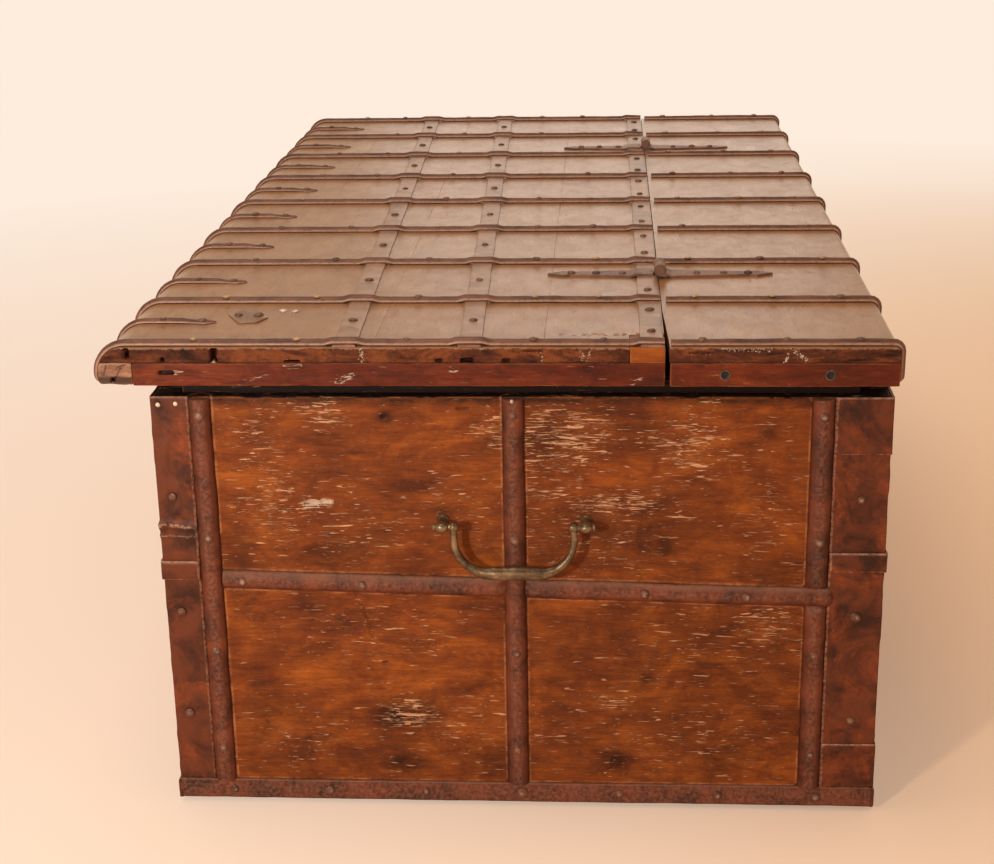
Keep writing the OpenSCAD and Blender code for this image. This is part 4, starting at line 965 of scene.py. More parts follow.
def face_irons(side, name):
    """Strips that the irons of the front or the back cover."""
    y = FRONT_Y if side < 0 else BACK_Y
    strips = []
    for corner_a, corner_b in solids(f"{name}_uprights"):
        x = (corner_a[0] + corner_b[0]) / 2
        strips.append(([x, y, WALL_FOOT], [x, y, WALL_TOP], UPRIGHT_HALF))
    z = middle(f"{name}_mid_band", 2)
    strips.append(([-END_X, y, z], [END_X, y, z], BAND_HALF))
    foot = high("front_foot_band")[2]
    strips.append(([-END_X, y, foot / 2], [END_X, y, foot / 2], foot / 2))
    return strips


# Clusters of pale flecks on the end panels, in mm: y, z, reach along Y, reach along Z, and strength
FLECKS = [
    [-181, 418, 26, 20, 1.0], [-25, 402, 22, 34, 0.9], [42, 394, 62, 44, 1.0], [98, 331, 70, 20, 0.9],
    [165, 388, 44, 52, 0.8], [150, 396, 60, 12, 1.0], [-250, 390, 40, 60, 0.6], [-238, 330, 50, 60, 0.75],
    [-160, 300, 60, 60, 0.5], [10, 300, 60, 40, 0.45], [80, 290, 90, 50, 0.4], [235, 330, 40, 90, 0.35],
    [-60, 330, 60, 60, 0.4], [240, 205, 44, 40, 0.7], [86, 120, 30, 14, 0.8], [-150, 190, 110, 50, 0.35],
    [160, 180, 100, 60, 0.3], [-60, 90, 150, 50, 0.35], [150, 80, 110, 50, 0.4], [-230, 70, 50, 40, 0.4],
    [-114, 101, 40, 22, 1.0], [60, 412, 56, 12, 1.0], [20, 340, 40, 12, 0.8], [-200, 425, 40, 10, 1.0],
]
# Dark stains there, in rows like those, and painted shade in the wide faint rows at y 170, 120 and -150
STAINS_AND_SHADE = [
    [-114, 101, 46, 26, 1.0], [-118, 46, 34, 16, 0.9], [92, 52, 28, 18, 0.9], [125, 142, 14, 20, 0.8],
    [142, 285, 16, 18, 0.7], [-250, 95, 40, 30, 0.5], [-30, 50, 60, 26, 0.4], [200, 60, 50, 30, 0.5],
    [-270, 250, 20, 60, 0.4], [240, 250, 30, 26, 0.4], [30, 395, 26, 40, 0.35], [-190, 270, 60, 20, 0.4],
    [170, 160, 190, 170, 0.32], [120, 300, 110, 40, 0.3], [30, 395, 70, 14, 0.4], [-150, 60, 160, 40, 0.25],
    [-127, 417, 11, 9, 1.0],
]


def panel_marks(clusters, stains, across, mirrored=1):
    """A board's marks from rows like FLECKS. across is the axis that a row's first number runs along."""

    def marks(points, values):
        for key, rows in (("fleck", clusters), ("stain", stains)):
            for along, height, reach_a, reach_z, strength in rows:
                da = (points[:, across] - mirrored * along * MM) / (reach_a * MM)
                dz = (points[:, 2] - height * MM) / (reach_z * MM)
                share = spot(np.hypot(da, dz), 1.35) * strength
                values[key] = np.maximum(values[key], share)
        values["fleck"] = np.clip(values["fleck"] + 0.15, 0, 1)
        # Painted shadow of the lid, growing over the wall's top 12 mm, and painted shade on its rim in the
        # recess
        shade = np.clip((points[:, 2] - (WALL_TOP - 12 * MM)) / (10 * MM), 0, 1)
        values["stain"] = np.maximum(values["stain"], shade)
        values["stain"][points[:, 2] > WALL_TOP - 1.5 * MM] = RECESS_SHADE

    return marks


def end_cuts(x, rows):
    """Slots in an end face.

    A row gives y and z in mm, the direction along Y and Z, length, width and depth in mm, darkness and
    bareness.
    """
    cuts = []
    for y, z, run_y, run_z, length, width, depth, dark, bare in rows:
        place = [x, y * MM, z * MM]
        cuts.append((place, [0, run_y, run_z], length * MM, width * MM, depth * MM, dark, bare))
    return cuts


# Gouges, nail holes and the crack of the right-hand end, in rows for end_cuts
PANEL_CUTS = [
    [-201, 328, 1, 0, 17, 7, 3.0, 0.3, 1.0], [-186, 329, 1, 0, 13, 6, 2.4, 0.3, 1.0],
    [-127, 417, 1, 0, 6, 6, 2.2, 0.9, 0.15], [-135, 158, 1, 0, 7, 6, 2.0, 0.8, 0.2],
    [-127, 300, 1, 0, 8, 4, 1.2, 0.8, 0.0], [-151, 205, 0.25, -0.97, 46, 3.4, 1.4, 0.25, 0.0],
    [-160, 228, 0.3, -0.95, 22, 2.4, 1.0, 0.2, 0.3], [-52, 425, 1, 0, 14, 4, 1.4, 0.9, 0.2],
    [231, 223, 1, 0, 10, 4, 1.2, 0.3, 0.4], [-88, 96, 1, 0, 34, 7, 1.2, 0.3, 0.4],
]


# Walls and the lip that the lid closes on
WALL_T = 28 * MM
WALL_EDGE_R = 3.5 * MM
LIP_T = 14 * MM
LIP_EDGE_R = 1.5 * MM
LIP_TOP = low("rear_end_rails")[2]
LIP_FOOT = WALL_TOP - 6 * MM
# Painted shade on a wall's rim and on the lip, which lie in the recess below the lid
RECESS_SHADE = 3.0


def end_panels():
    for side, name in ENDS:
        wall = sorted((side * END_X, side * (END_X - WALL_T)))
        lip = sorted((side * (END_X - WALL_T), side * (END_X - LIP_T)))
        parts = [
            board_part([wall[0], FRONT_Y, WALL_FOOT], [wall[1], BACK_Y, WALL_TOP],
                       (7 * MM, 3.5 * MM, 3.5 * MM), WALL_EDGE_R, grain=1, warp=1.0,
                       irons=end_irons(side, name), marks=panel_marks(FLECKS, STAINS_AND_SHADE, 1, side),
                       raw=(-side, 0, 0), seed=11 + side,
                       cuts=end_cuts(END_X, PANEL_CUTS) if side > 0 else ()),
            # The lip, darkened all over: painted shade of the recess below the lid
            board_part([lip[0], FRONT_Y + WALL_T, LIP_FOOT], [lip[1], BACK_Y - WALL_T, LIP_TOP],
                       (7 * MM, 9 * MM, 6 * MM), LIP_EDGE_R, grain=1, stain=RECESS_SHADE),
        ]
        boards_piece(f"{name}_end_panel", f"{name}_end_wall", parts, "case", end_wood)


# How many flecks and stains the front and the back have, and the spans that their rows are drawn from
FLECK_COUNT = 26
STAIN_COUNT = 16
FLECK_SPANS = [(-600, 600), (60, 410), (30, 110), (14, 60), (0.3, 1.0)]
STAIN_SPANS = [(-620, 620), (30, 400), (16, 60), (14, 40), (0.3, 1.0)]


def side_panels():
    spots = np.random.default_rng(5)
    for side, name in FACES:
        clusters = [[spots.uniform(*span) for span in FLECK_SPANS] for _ in range(FLECK_COUNT)]
        stains = [[spots.uniform(*span) for span in STAIN_SPANS] for _ in range(STAIN_COUNT)]
        wall = sorted((side * (BACK_Y - WALL_T), side * BACK_Y))
        lip = sorted((side * (BACK_Y - WALL_T), side * (BACK_Y - LIP_T if side < 0 else BACK_Y)))
        reach = END_X - WALL_T
        parts = [
            board_part([-reach, wall[0], WALL_FOOT], [reach, wall[1], WALL_TOP],
                       (4.4 * MM, 7 * MM, 3.6 * MM), WALL_EDGE_R, warp=1.0, irons=face_irons(side, name),
                       marks=panel_marks(clusters, stains, 0), raw=(0, -side, 0), seed=21 + side),
            # The lip, darkened all over: painted shade of the recess below the lid
            board_part([-reach, lip[0], LIP_FOOT], [reach, lip[1], LIP_TOP],
                       (14 * MM, 7 * MM, 6 * MM), LIP_EDGE_R, stain=RECESS_SHADE),
        ]
        boards_piece(f"{name}_panel", f"{name}_wall", parts, "case", side_wood)


end_panels()
side_panels()


# Irons of the case
BAR_H = 7 * MM
UPRIGHT_BAR = {"width": 2 * UPRIGHT_HALF, "height": BAR_H,
               "wander": 1.0 * MM, "swell": 0.07, "dents": 0.5 * MM}
BAND_BAR = {"width": 2 * BAND_HALF, "height": BAR_H, "wander": 0.9 * MM, "swell": 0.07, "dents": 0.6 * MM}
# Height shares of a bar, which is thinner where another one passes over it
OVER, UNDER = 1.0, 0.34
# Stations round a crossing: distance from its middle in mm, and height share
UPRIGHT_DIP = ((-15, OVER), (-9, UNDER), (9, UNDER), (15, OVER))
BAND_DIP = ((-16, OVER), (-10, UNDER), (10, UNDER), (16, OVER))
# Shortest solid in an upright's node that counts as a bar
BAR_LENGTH = 50 * MM


def centres(uprights, axis):
    """Places of a node's bars along an axis."""
    bars = [(a[axis] + b[axis]) / 2 for a, b in solids(uprights) if b[2] - a[2] > BAR_LENGTH]
    return sorted(set(round(own, 4) for own in bars))


def dipped(place, dip):
    """Stations round a crossing: place along the bar, and height share."""
    return [(place + gap * MM, share) for gap, share in dip]


def upright_path(face_point, along, out, dip=None):
    """An upright from its foot to its top. dip is the height where a band passes over it."""
    levels = [(low("right_end_uprights")[2], OVER)]
    if dip:
        levels += dipped(dip, UPRIGHT_DIP)
    levels.append((high("right_end_uprights")[2], OVER))
    return [((face_point[0], face_point[1], z), along, out, 1.0, h) for z, h in levels]


def case_uprights():
    for side, name in ENDS:
        node = f"{name}_end_uprights"
        places = centres(node, 1)
        crossing = band_height("right_mid_band", places[-1])
        paths = [
            upright_path((side * END_X, y), (0, 1, 0), (side, 0, 0), crossing if y == places[-1] else None)
            for y in places
        ]
        forged_bars(node, paths, case_iron, "case", "case_iron", seed=3.0 + side, **UPRIGHT_BAR)
    for side, name in FACES:
        node = f"{name}_uprights"
        paths = [upright_path((x, side * BACK_Y), (1, 0, 0), (0, side, 0)) for x in centres(node, 0)]
        forged_bars(node, paths, case_iron, "case", "case_iron", seed=7.0 + side, **UPRIGHT_BAR)


def case_bands():
    for side, name in ENDS:
        node = f"{name}_mid_band"
        y0, y1 = low(node)[1], high(node)[1]
        stations = [(y0, OVER)] + dipped(centres(f"{name}_end_uprights", 1)[1], BAND_DIP)
        stations += [(y1 - 40 * MM, OVER), (y1 - 3 * MM, 0.95), (y1, 0.5)]
        path = [
            ((side * END_X, y, band_height(node, y)), (0, 0, 1), (side, 0, 0), 0.8 if y == y1 else 1.0, h)
            for y, h in stations
        ]
        forged_bars(node, [path], case_iron, "case", "case_iron", seed=13.0 + side, **BAND_BAR)
    for side, name in FACES:
        node = f"{name}_mid_band"
        z = middle(node, 2)
        stations = [(low(node)[0], OVER)]
        for x in centres(f"{name}_uprights", 0):
            stations += dipped(x, BAND_DIP)
        stations.append((high(node)[0], OVER))
        path = [((x, side * BACK_Y, z), (0, 0, 1), (0, side, 0), 1.0, h) for x, h in stations]
        forged_bars(node, [path], case_iron, "case", "case_iron", seed=17.0 + side, **BAND_BAR)


def foot_bands():
    z = middle("front_foot_band", 2)
    width = high("front_foot_band")[2] - low("front_foot_band")[2]
    flat = {"width": width, "height": 3 * MM, "squareness": 7.0, "under": 0.2, "wander": 0.5 * MM,
            "swell": 0.04, "dents": 0.5 * MM, "around": 32, "step": 4 * MM}
    for side, name in FACES:
        node = f"{name}_foot_band"
        reach = high(node)[0]
        path = [((x, side * BACK_Y, z), (0, 0, 1), (0, side, 0), 1.0, 1.0) for x in (-reach, reach)]
        forged_bars(node, [path], case_iron, "case", "case_iron", seed=23.0 + side, **flat)
    ends = (FRONT_Y - 2 * MM, BACK_Y + 2 * MM)
    paths = [[((side * END_X, y, z), (0, 0, 1), (side, 0, 0), 1.0, 1.0) for y in ends] for side in (-1, 1)]
    forged_bars("end_foot_bands", paths, case_iron, "case", "case_iron", seed=29.0, **flat)


case_uprights()
case_bands()
foot_bands()
CASE_NAILS = (("right_end_nails", (1, 0, 0)), ("left_end_nails", (-1, 0, 0)), ("front_nails", (0, -1, 0)),
              ("back_nails", (0, 1, 0)))
for number, (nail_node, facing) in enumerate(CASE_NAILS):
    nails(nail_node, [nail_node], facing, "case", "case_nails", nail_iron, seed=3 + number, radius=4.9 * MM,
          height=1.8 * MM, lumps=0.55 * MM)
RIM_TACKS = [
    (END_X + 1.4 * MM, -343 * MM, WALL_TOP - 8 * MM),
    (END_X + 1.4 * MM, -326 * MM, WALL_TOP - 7 * MM),
    (END_X + 6 * MM, solids("right_end_uprights")[1][0][1] + 10 * MM, WALL_TOP - 3 * MM),
]
nails("rim_tacks", [], (1, 0, 0), "case", "case_nails", tack_iron, extra=RIM_TACKS, seed=10, radius=2.2 * MM,
      height=1.2 * MM, lumps=0.3 * MM)


# Lid boards
NOSE_FRONT = low("nosing")[1]
NOSE_BACK = high("nosing")[1]
NOSE_Y = NOSE_FRONT + NOSE_R
NOSE_Z = DECK_TOP - NOSE_R
NOSE_UNDER_R = 6 * MM
FLAP_FOOT = low("nosing")[2]
FLAP_BACK = high("flap_plank_4")[1]
DECK_FRONT = low("rear_deck_plank")[1]
DECK_BACK = high("rear_deck_plank")[1]
JOINT_OPENS = LID_X - 20 * MM


def nose_shape(points):
    """Rounds a board's front to the nosing's section."""
    z = points[:, 2]
    above = NOSE_Y - np.sqrt(np.clip(NOSE_R**2 - np.clip(z - NOSE_Z, 0, NOSE_R) ** 2, 0, None))
    lower = np.clip(NOSE_UNDER_R - (z - FLAP_FOOT), 0, NOSE_UNDER_R)
    below = NOSE_FRONT + NOSE_UNDER_R - np.sqrt(NOSE_UNDER_R**2 - lower**2)
    front = points[:, 1].min()
    inset = np.maximum(above, below) - front
    share = np.clip((NOSE_BACK - points[:, 1]) / (NOSE_BACK - front), 0, 1)
    points = points.copy()
    points[:, 1] += inset * share
    return points


def deck_shape(points):
    """Rounds the rear deck's back edge, and lets its front edge close the joint away from the near end."""
    rise = np.clip(points[:, 2] - (DECK_TOP - REAR_EDGE_R), 0, REAR_EDGE_R)
    inset = REAR_EDGE_R - np.sqrt(REAR_EDGE_R**2 - rise**2)
    share = np.clip(1 - (DECK_BACK - points[:, 1]) / (30 * MM), 0, 1)
    points = points.copy()
    points[:, 1] -= inset * share
    closed = 0.15 + 0.85 * np.clip((JOINT_OPENS - points[:, 0]) / (110 * MM), 0, 1)
    closed = closed * (DECK_FRONT - FLAP_BACK - 0.7 * MM)
    points[:, 1] -= closed * spot(points[:, 1] - DECK_FRONT, 40 * MM)
    return points


def mended_shape(points):
    """Cuts the last plank back at the mending block."""
    mend = low("mending_block")
    start = low("flap_plank_4")[1]
    cut = points[:, 0] > mend[0] - 0.3 * MM
    points = points.copy()
    room = (mend[1] - 0.3 * MM - start) / (FLAP_BACK - start)
    points[cut, 1] = start + (points[cut, 1] - start) * room
    return points


# Gaps and worm-eaten hollows in the right-hand ends of the lid's planks and rails
PLANK_CUTS = [
    [-368, 481, 0, 1, 12, 5.5, 9, 1.0, 0.1], [-334, 474, 0, 1, 8, 4, 7, 1.0, 0.0],
    [-285, 479, 0, 1, 17, 7.5, 11, 1.0, 0.0], [-211, 473, 1, 0, 16, 4.5, 5, 1.0, 0.4],
    [-72, 474.5, 1, 0, 8, 5, 5, 1.0, 0.0], [-46, 474.5, 1, 0, 13, 6, 5, 1.0, 0.0],
    [-9, 474.5, 1, 0, 9, 5, 4, 1.0, 0.0], [-145, 480, 0, 1, 14, 1.6, 0.8, 0.0, 0.45],
    [24, 480, 0, 1, 14, 1.6, 0.8, 0.0, 0.35], [61, 481, 0, 1, 12, 1.8, 0.8, 0.0, 0.4],
    [68, 480, 0.3, 0.95, 13, 1.6, 0.8, 0.0, 0.35], [172, 483, 1, 0, 18, 4, 1.2, 0.3, 0.3],
    [196, 480, 0.7, 0.7, 15, 3, 1.0, 0.2, 0.45], [20, 484, 1, 0, 30, 3, 1.5, 0.7, 0.2],
]
RAIL_CUTS = [
    [-331, 462.5, 1, 0, 16, 4.5, 4, 1.0, 0.35], [-320, 462.5, 1, 0, 10, 2.5, 1, 0.0, 0.5],
    [-210, 470, 1, 0, 17, 4, 2, 0.3, 0.55], [-162, 457, 0.9, 0.42, 18, 4.5, 1.8, 0.35, 0.6],
    [-59, 466, 1, 0, 7, 4, 1.2, 0.5, 0.4], [-250, 456, 0.95, 0.3, 40, 1.6, 0.5, 0.0, 0.35],
    [112, 455, 0.8, 0.6, 10, 2.5, 0.8, 0.0, 0.4], [60, 468, 1, 0, 24, 1.8, 0.6, 0.0, 0.3],
]
DECK_END_CUTS = [
    [262, 480, 0.75, -0.66, 22, 2.2, 1.0, 0.0, 0.5], [250, 477, 0.4, 0.92, 9, 2, 0.8, 0.1, 0.5],
    [170, 482, 1, 0, 22, 3, 1.2, 0.6, 0.3], [214, 485, 1, 0, 46, 2.4, 1.0, 0.1, 0.4],
    [320, 475, 1, 0, 30, 1.8, 1.0, 0.7, 0.0],
]
NOSE_CUTS = [
    [-383, 452, 0, 1, 12, 4.5, 7, 0.6, 0.1], [-378, 461, 0.5, 0.86, 14, 1.4, 1.4, 0.8, 0.0],
    [-390, 464, 0.3, 0.95, 12, 1.4, 1.2, 0.7, 0.0], [-374, 469, 0.9, 0.4, 12, 1.6, 1.4, 0.7, 0.1],
]


def uneven_nose(points):
    """The nosing's section, with its worn lower edge."""
    points = nose_shape(points)
    low_share = spot(points[:, 2] - FLAP_FOOT, 9 * MM)
    points[:, 2] += low_share * (1.2 * MM + 1.1 * MM * rough(points * [1, 1, 0], 16 * MM, 4)).clip(0)
    return points


def lid_boards():
    levels = np.linspace(DECK_UNDER + 1 * MM, DECK_TOP - 1 * MM, 9)
    plank = {"step": (13 * MM, 4 * MM, 3 * MM), "edge": 0.25 * MM, "warp": 0.4, "ends": lid_end_wood,
             "raw": (0, 0, -1)}
    to_joint = np.array([0, 0.29 * MM, 0])
    for i in range(1, 5):
        node = f"flap_plank_{i}"
        ends = (low(node) - to_joint * (i > 1), high(node) + to_joint * (i < 4))
        shape, extra = None, ((), (), levels)
        if i == 1:
            shape = nose_shape
        if i == 4:
            mend_x = low("mending_block")[0]
            shape, extra = mended_shape, ([mend_x - 0.5 * MM, mend_x - 0.15 * MM], (), levels)
        cuts = end_cuts(LID_X, [own for own in PLANK_CUTS if ends[0][1] < own[0] * MM < ends[1][1]])
        board(node, "flap", lid_wood, "lid_timber", corners=[ends], shape=shape, extra=extra, cuts=cuts,
              seed=40 + i, **plank)
    board("rear_deck_plank", "case", lid_wood, "lid_timber", shape=deck_shape,
          corners=[(low("rear_deck_plank"), high("rear_deck_plank"))], extra=((), (), levels), seed=46,
          cuts=end_cuts(LID_X, DECK_END_CUTS), **plank)
    board("mending_block", "flap", mending_wood, "mending_timber", step=(4 * MM, 4 * MM, 3 * MM),
          edge=1.6 * MM, warp=0.4, ripple=0.3, seed=47)
    board("nosing", "flap", nosing_wood, "nosing_timber", step=(7 * MM, 2.2 * MM, 1.8 * MM),
          edge=2.2 * MM, warp=0.8, ripple=0.6, shape=uneven_nose, seed=48, cuts=end_cuts(LID_X, NOSE_CUTS))
    rail = {"step": (4 * MM, 3 * MM, 2.2 * MM), "edge": 2.0 * MM, "grain": 1, "warp": 0.6, "ripple": 0.35}
    board("flap_end_rails", "flap", rail_wood, "rail_timber", seed=50,
          cuts=end_cuts(LID_X, RAIL_CUTS), **rail)
    board("rear_end_rails", "case", rail_wood, "rail_timber", seed=52, **rail)


lid_boards()


# Irons of the lid
STRAP_END_Z = low("flap_cross_straps")[2]
EDGE_FRONT = low("hinge_edge_strap")[1]
LONG_W = high("hinge_edge_strap")[1] - EDGE_FRONT
ON_DECK = DECK_TOP + 0.05 * MM
RAMP = 7 * MM
CROSS_X = [(a[0] + b[0]) / 2 for a, b in solids("flap_cross_straps")]
SHORT_X = [(a[0] + b[0]) / 2 for a, b in solids("short_straps")]
SHORT_BACK = high("short_straps")[1]
# Width and height shares at the end of a strap
STRAP_END = (0.75, 0.55)
CROSS_BAR = {"width": CROSS_W, "height": CROSS_H, "wander": 0.8 * MM, "swell": 0.09, "dents": 0.45 * MM}
# Spear point of a short strap: distance from its tip in mm, width share and height share
SPEAR = ((0, 0.2, 0.3), (4, 0.9, 0.45), (9, 1.5, 0.52), (15, 1.45, 0.56), (21, 1.2, 0.62), (27, 1.0, 0.8),
         (33, 1.0, 1.0), (51, 1.0, 1.0))


def long_y(node, x):
    return middle(node, 1) + x * math.tan(LONG_SLANT)


def on_lid(x, y, rise=0.0, w=1.0, h=1.0):
    return (x, y, ON_DECK + rise), (1, 0, 0), (0, 0, 1), w, h


def round_bend(x, centre_y, centre_z, radius, angles):
    """Stations of a strap round an edge of the lid."""
    stations = []
    for angle in np.radians(angles):
        out = (0, math.cos(angle), math.sin(angle))
        place = (x, centre_y + radius * out[1], centre_z + radius * out[2])
        stations.append((place, (1, 0, 0), out, 1.0, 1.0))
    return stations


def over_nose(x):
    """The part of a strap that goes round the nosing and ends below it."""
    stations = round_bend(x, NOSE_Y, NOSE_Z, NOSE_R, np.linspace(90, 180, 9))
    stations.append(((x, NOSE_FRONT, STRAP_END_Z + 4 * MM), (1, 0, 0), (0, -1, 0), 1.0, 1.0))
    stations.append(((x, NOSE_FRONT, STRAP_END_Z), (1, 0, 0), (0, -1, 0), *STRAP_END))
    return stations


def hump(x, y):
    """Stations of a cross strap over a flat strap."""
    half = LONG_W / 2 + 1 * MM
    return [
        on_lid(x, y + half + RAMP),
        on_lid(x, y + half, LONG_T, 1.05),
        on_lid(x, y - half, LONG_T, 1.05),
        on_lid(x, y - half - RAMP),
    ]


def flap_straps():
    paths = []
    for x in CROSS_X:
        path = [
            on_lid(x, FLAP_BACK - 0.5 * MM, LONG_T, 1.0, 0.8),
            on_lid(x, EDGE_FRONT - 1 * MM, LONG_T, 1.05),
            on_lid(x, EDGE_FRONT - 1 * MM - RAMP),
        ]
        for node in ("middle_long_strap", "front_long_strap"):
            path += hump(x, long_y(node, x))
        paths.append(path + over_nose(x))
    forged_bars("flap_cross_straps", paths, lid_iron, "flap", "lid_iron", seed=31.0, **CROSS_BAR)
    paths = []
    for x in SHORT_X:
        point = [on_lid(x, SHORT_BACK - along * MM, 0, w, h) for along, w, h in SPEAR]
        paths.append(point + over_nose(x))
    forged_bars("short_straps", paths, lid_iron, "flap", "lid_iron", width=10 * MM,
                height=4.6 * MM, wander=0.8 * MM, swell=0.08, dents=0.4 * MM, step=2.2 * MM, seed=33.0)


def rear_straps():
    paths = []
    for x in CROSS_X:
        path = [on_lid(x, DECK_FRONT + 1 * MM, 0, 1.0, 0.9), on_lid(x, (DECK_FRONT + DECK_BACK) / 2)]
        path += round_bend(x, DECK_BACK - REAR_EDGE_R, DECK_TOP - REAR_EDGE_R, REAR_EDGE_R,
                           np.linspace(90, 0, 6))
        path.append(((x, DECK_BACK, STRAP_END_Z + 3 * MM), (1, 0, 0), (0, 1, 0), 1.0, 0.95))
        path.append(((x, DECK_BACK, STRAP_END_Z), (1, 0, 0), (0, 1, 0), *STRAP_END))
        paths.append(path)
    forged_bars("rear_cross_straps", paths, lid_iron, "case", "lid_iron", seed=35.0, step=2.4 * MM,
                **CROSS_BAR)


def flat_straps():
    reach = high("front_long_strap")[0]
    flat = {"width": LONG_W, "height": LONG_T, "squareness": 6.0, "under": 0.05, "around": 32,
            "step": 4 * MM, "wander": 0.7 * MM, "swell": 0.05, "dents": 0.4 * MM, "dent_size": 16 * MM}
    turn = (-math.sin(LONG_SLANT), math.cos(LONG_SLANT), 0)
    for seed, node in ((37.0, "front_long_strap"), (39.0, "middle_long_strap")):
        path = [((x, long_y(node, x), ON_DECK), turn, (0, 0, 1), 1.0, 1.0) for x in (-reach, 0, reach)]
        forged_bars(node, [path], lid_flat_iron, "flap", "lid_iron", seed=seed, **flat)
    y = middle("hinge_edge_strap", 1)
    path = [((x, y, ON_DECK), (0, 1, 0), (0, 0, 1), 1.0, 1.0) for x in (-reach, 0, reach)]
    forged_bars("hinge_edge_strap", [path], lid_flat_iron, "flap", "lid_iron", seed=41.0, **flat)


flap_straps()
rear_straps()
flat_straps()
nails("flap_nails", ["flap_nails"], (0, 0, 1), "flap", "lid_nails", lid_nail_iron, seed=7)
nails("rear_deck_nails", ["rear_deck_nails"], (0, 0, 1), "case", "lid_nails", lid_nail_iron, seed=8)
LID_TACKS = [(530 * MM, -241 * MM, DECK_TOP), (533 * MM, -228 * MM, DECK_TOP)]
nails("bright_tacks", [], (0, 0, 1), "flap", "lid_nails", tack_iron, extra=LID_TACKS, seed=9, radius=4 * MM,
      height=1.7 * MM)


# Outline of the mending plate about its middle, in mm
PLATE = [(-4.5, -21), (-27, -14.5), (-23.5, 4), (6.5, 21), (26, 13), (27.5, -5)]
# Its section from the foot of the rim inwards: share of the outline, height in mm and paleness, the ridge
# value that paints a highlight on the rim and shade at its foot
PLATE_RINGS = ((1, 0.05, 0.2), (1, 1.1, 0.7), (0.96, 1.6, 1.0), (0.85, 1.5, 0.5), (0.5, 1.3, 0.5),
               (0.1, 1.4, 0.5))


def mending_plate():
    """A six-sided plate over a split, its rim bent a little."""
    place = (low("diamond_patch") + high("diamond_patch")) / 2
    corners = np.array(PLATE) * MM
    following = np.roll(corners, -1, axis=0)
    sides = [a + (b - a) * share for a, b in zip(corners, following) for share in np.arange(0, 1, 0.2)]
    line = np.column_stack([sides, np.zeros(len(sides))])
    line *= (1 + 0.02 * lumps(line, 6 * MM, 81))[:, None]
    rings, ridges = [], []
    for share, rise, pale in PLATE_RINGS:
        ring = line * share + [place[0], place[1], DECK_TOP + rise * MM]
        ring[:, 2] += 0.25 * MM * lumps(ring, 9 * MM, 82) * (rise > 1)
        rings.append(ring)
        ridges.append(np.full(len(ring), pale))
    points, faces = loft_mesh(np.array(rings))
    piece = make_piece("mending_plate", points, faces, lid_flat_iron, "flap", ("diamond_patch",),
                       {"ridge": np.concatenate(ridges)})
    outward(piece.data)


mending_plate()


# Sheet iron bent round the corners
SHEET_T = 1.5 * MM
CLIP_T = 2 * MM
SHEET_BEND_R = 2.2 * MM
SHEET_GRID = 2.2 * MM
SHEET_LEVEL = 2.5 * MM
# How far a sheet's face may stand out
MOST_OUT = 2.2 * MM
OFF_WALL = 0.05 * MM
HEAD_PLATE_H = 56 * MM
FOOT_PLATE_H = 49 * MM
# Folds across the front corner irons: height, reach and how far they stand out
WRINKLES = ((303 * MM, 7 * MM, 2.6 * MM), (292 * MM, 4 * MM, 1.4 * MM))


def bent_sheet(side_x, side_y, end_reach, face_reach, off, thick, z_low, z_high, dent, seed, wrinkles=()):
    """A sheet round a vertical corner: its points, faces and ridge values."""
    turn = off + thick
    bend = min(SHEET_BEND_R, turn)
    inside = turn - bend
    plan = [(turn, -s) for s in np.arange(end_reach, bend, -SHEET_GRID)]
    for angle in np.radians(np.linspace(0, 90, 6)):
        plan.append((inside + bend * math.cos(angle), inside + bend * math.sin(angle)))
    plan += [(-s, turn) for s in np.arange(bend, face_reach + 1 * MM, SHEET_GRID)]
    plan = np.array(plan)
    run = np.gradient(plan, axis=0)
    out = np.stack([run[:, 1], -run[:, 0]], axis=1)
    out /= np.linalg.norm(out, axis=1, keepdims=True)
    levels = np.arange(z_low, z_high + 0.5 * MM, SHEET_LEVEL)
    levels[-1] = z_high
    rings, ridges = [], []
    for z in levels:
        at = np.column_stack([plan[:, 0] * side_x * 3, plan[:, 1] * side_y * 3, np.full(len(plan), z)])
        depth = dent * (0.5 * lumps(at, 22 * MM, seed) + 0.3 * lumps(at, 9 * MM, seed + 3) - 0.35)
        # pale is the ridge value: high on folds and along the sheet's edges, where it paints a highlight
        pale = np.full(len(plan), 0.5)
        for middle_z, reach, amount in wrinkles:
            shifted = middle_z + 5 * MM * lumps(at * [1, 1, 0], 26 * MM, seed + 8)
            crease = spot(np.abs(z - shifted), reach)
            depth += amount * crease * (0.7 + 0.3 * lumps(at, 12 * MM, seed + 9))
            pale = np.maximum(pale, crease * 1.1)
        if min(z - z_low, z_high - z) < 1.5 * MM:
            pale[:] = 1.0
        pale[[0, 1, -2, -1]] = 0.88
        outer = plan + out * np.clip(depth, -thick * 0.45, MOST_OUT)[:, None]
        inner = plan - out * thick * 0.92
        ring = np.concatenate([outer, inner[::-1]])
        x, y = side_x * (END_X + ring[:, 0]), side_y * (BACK_Y + ring[:, 1])
        rings.append(np.column_stack([x, y, np.full(len(ring), z)]))
        ridges.append(np.concatenate([pale.clip(0, 1), np.full(len(inner), 0.4)]))
    points, faces = loft_mesh(np.array(rings))
    return points, faces, {"ridge": np.concatenate(ridges)}


def sheet_piece(node, parts):
    closed_piece(node, parts, sheet_iron, "case")


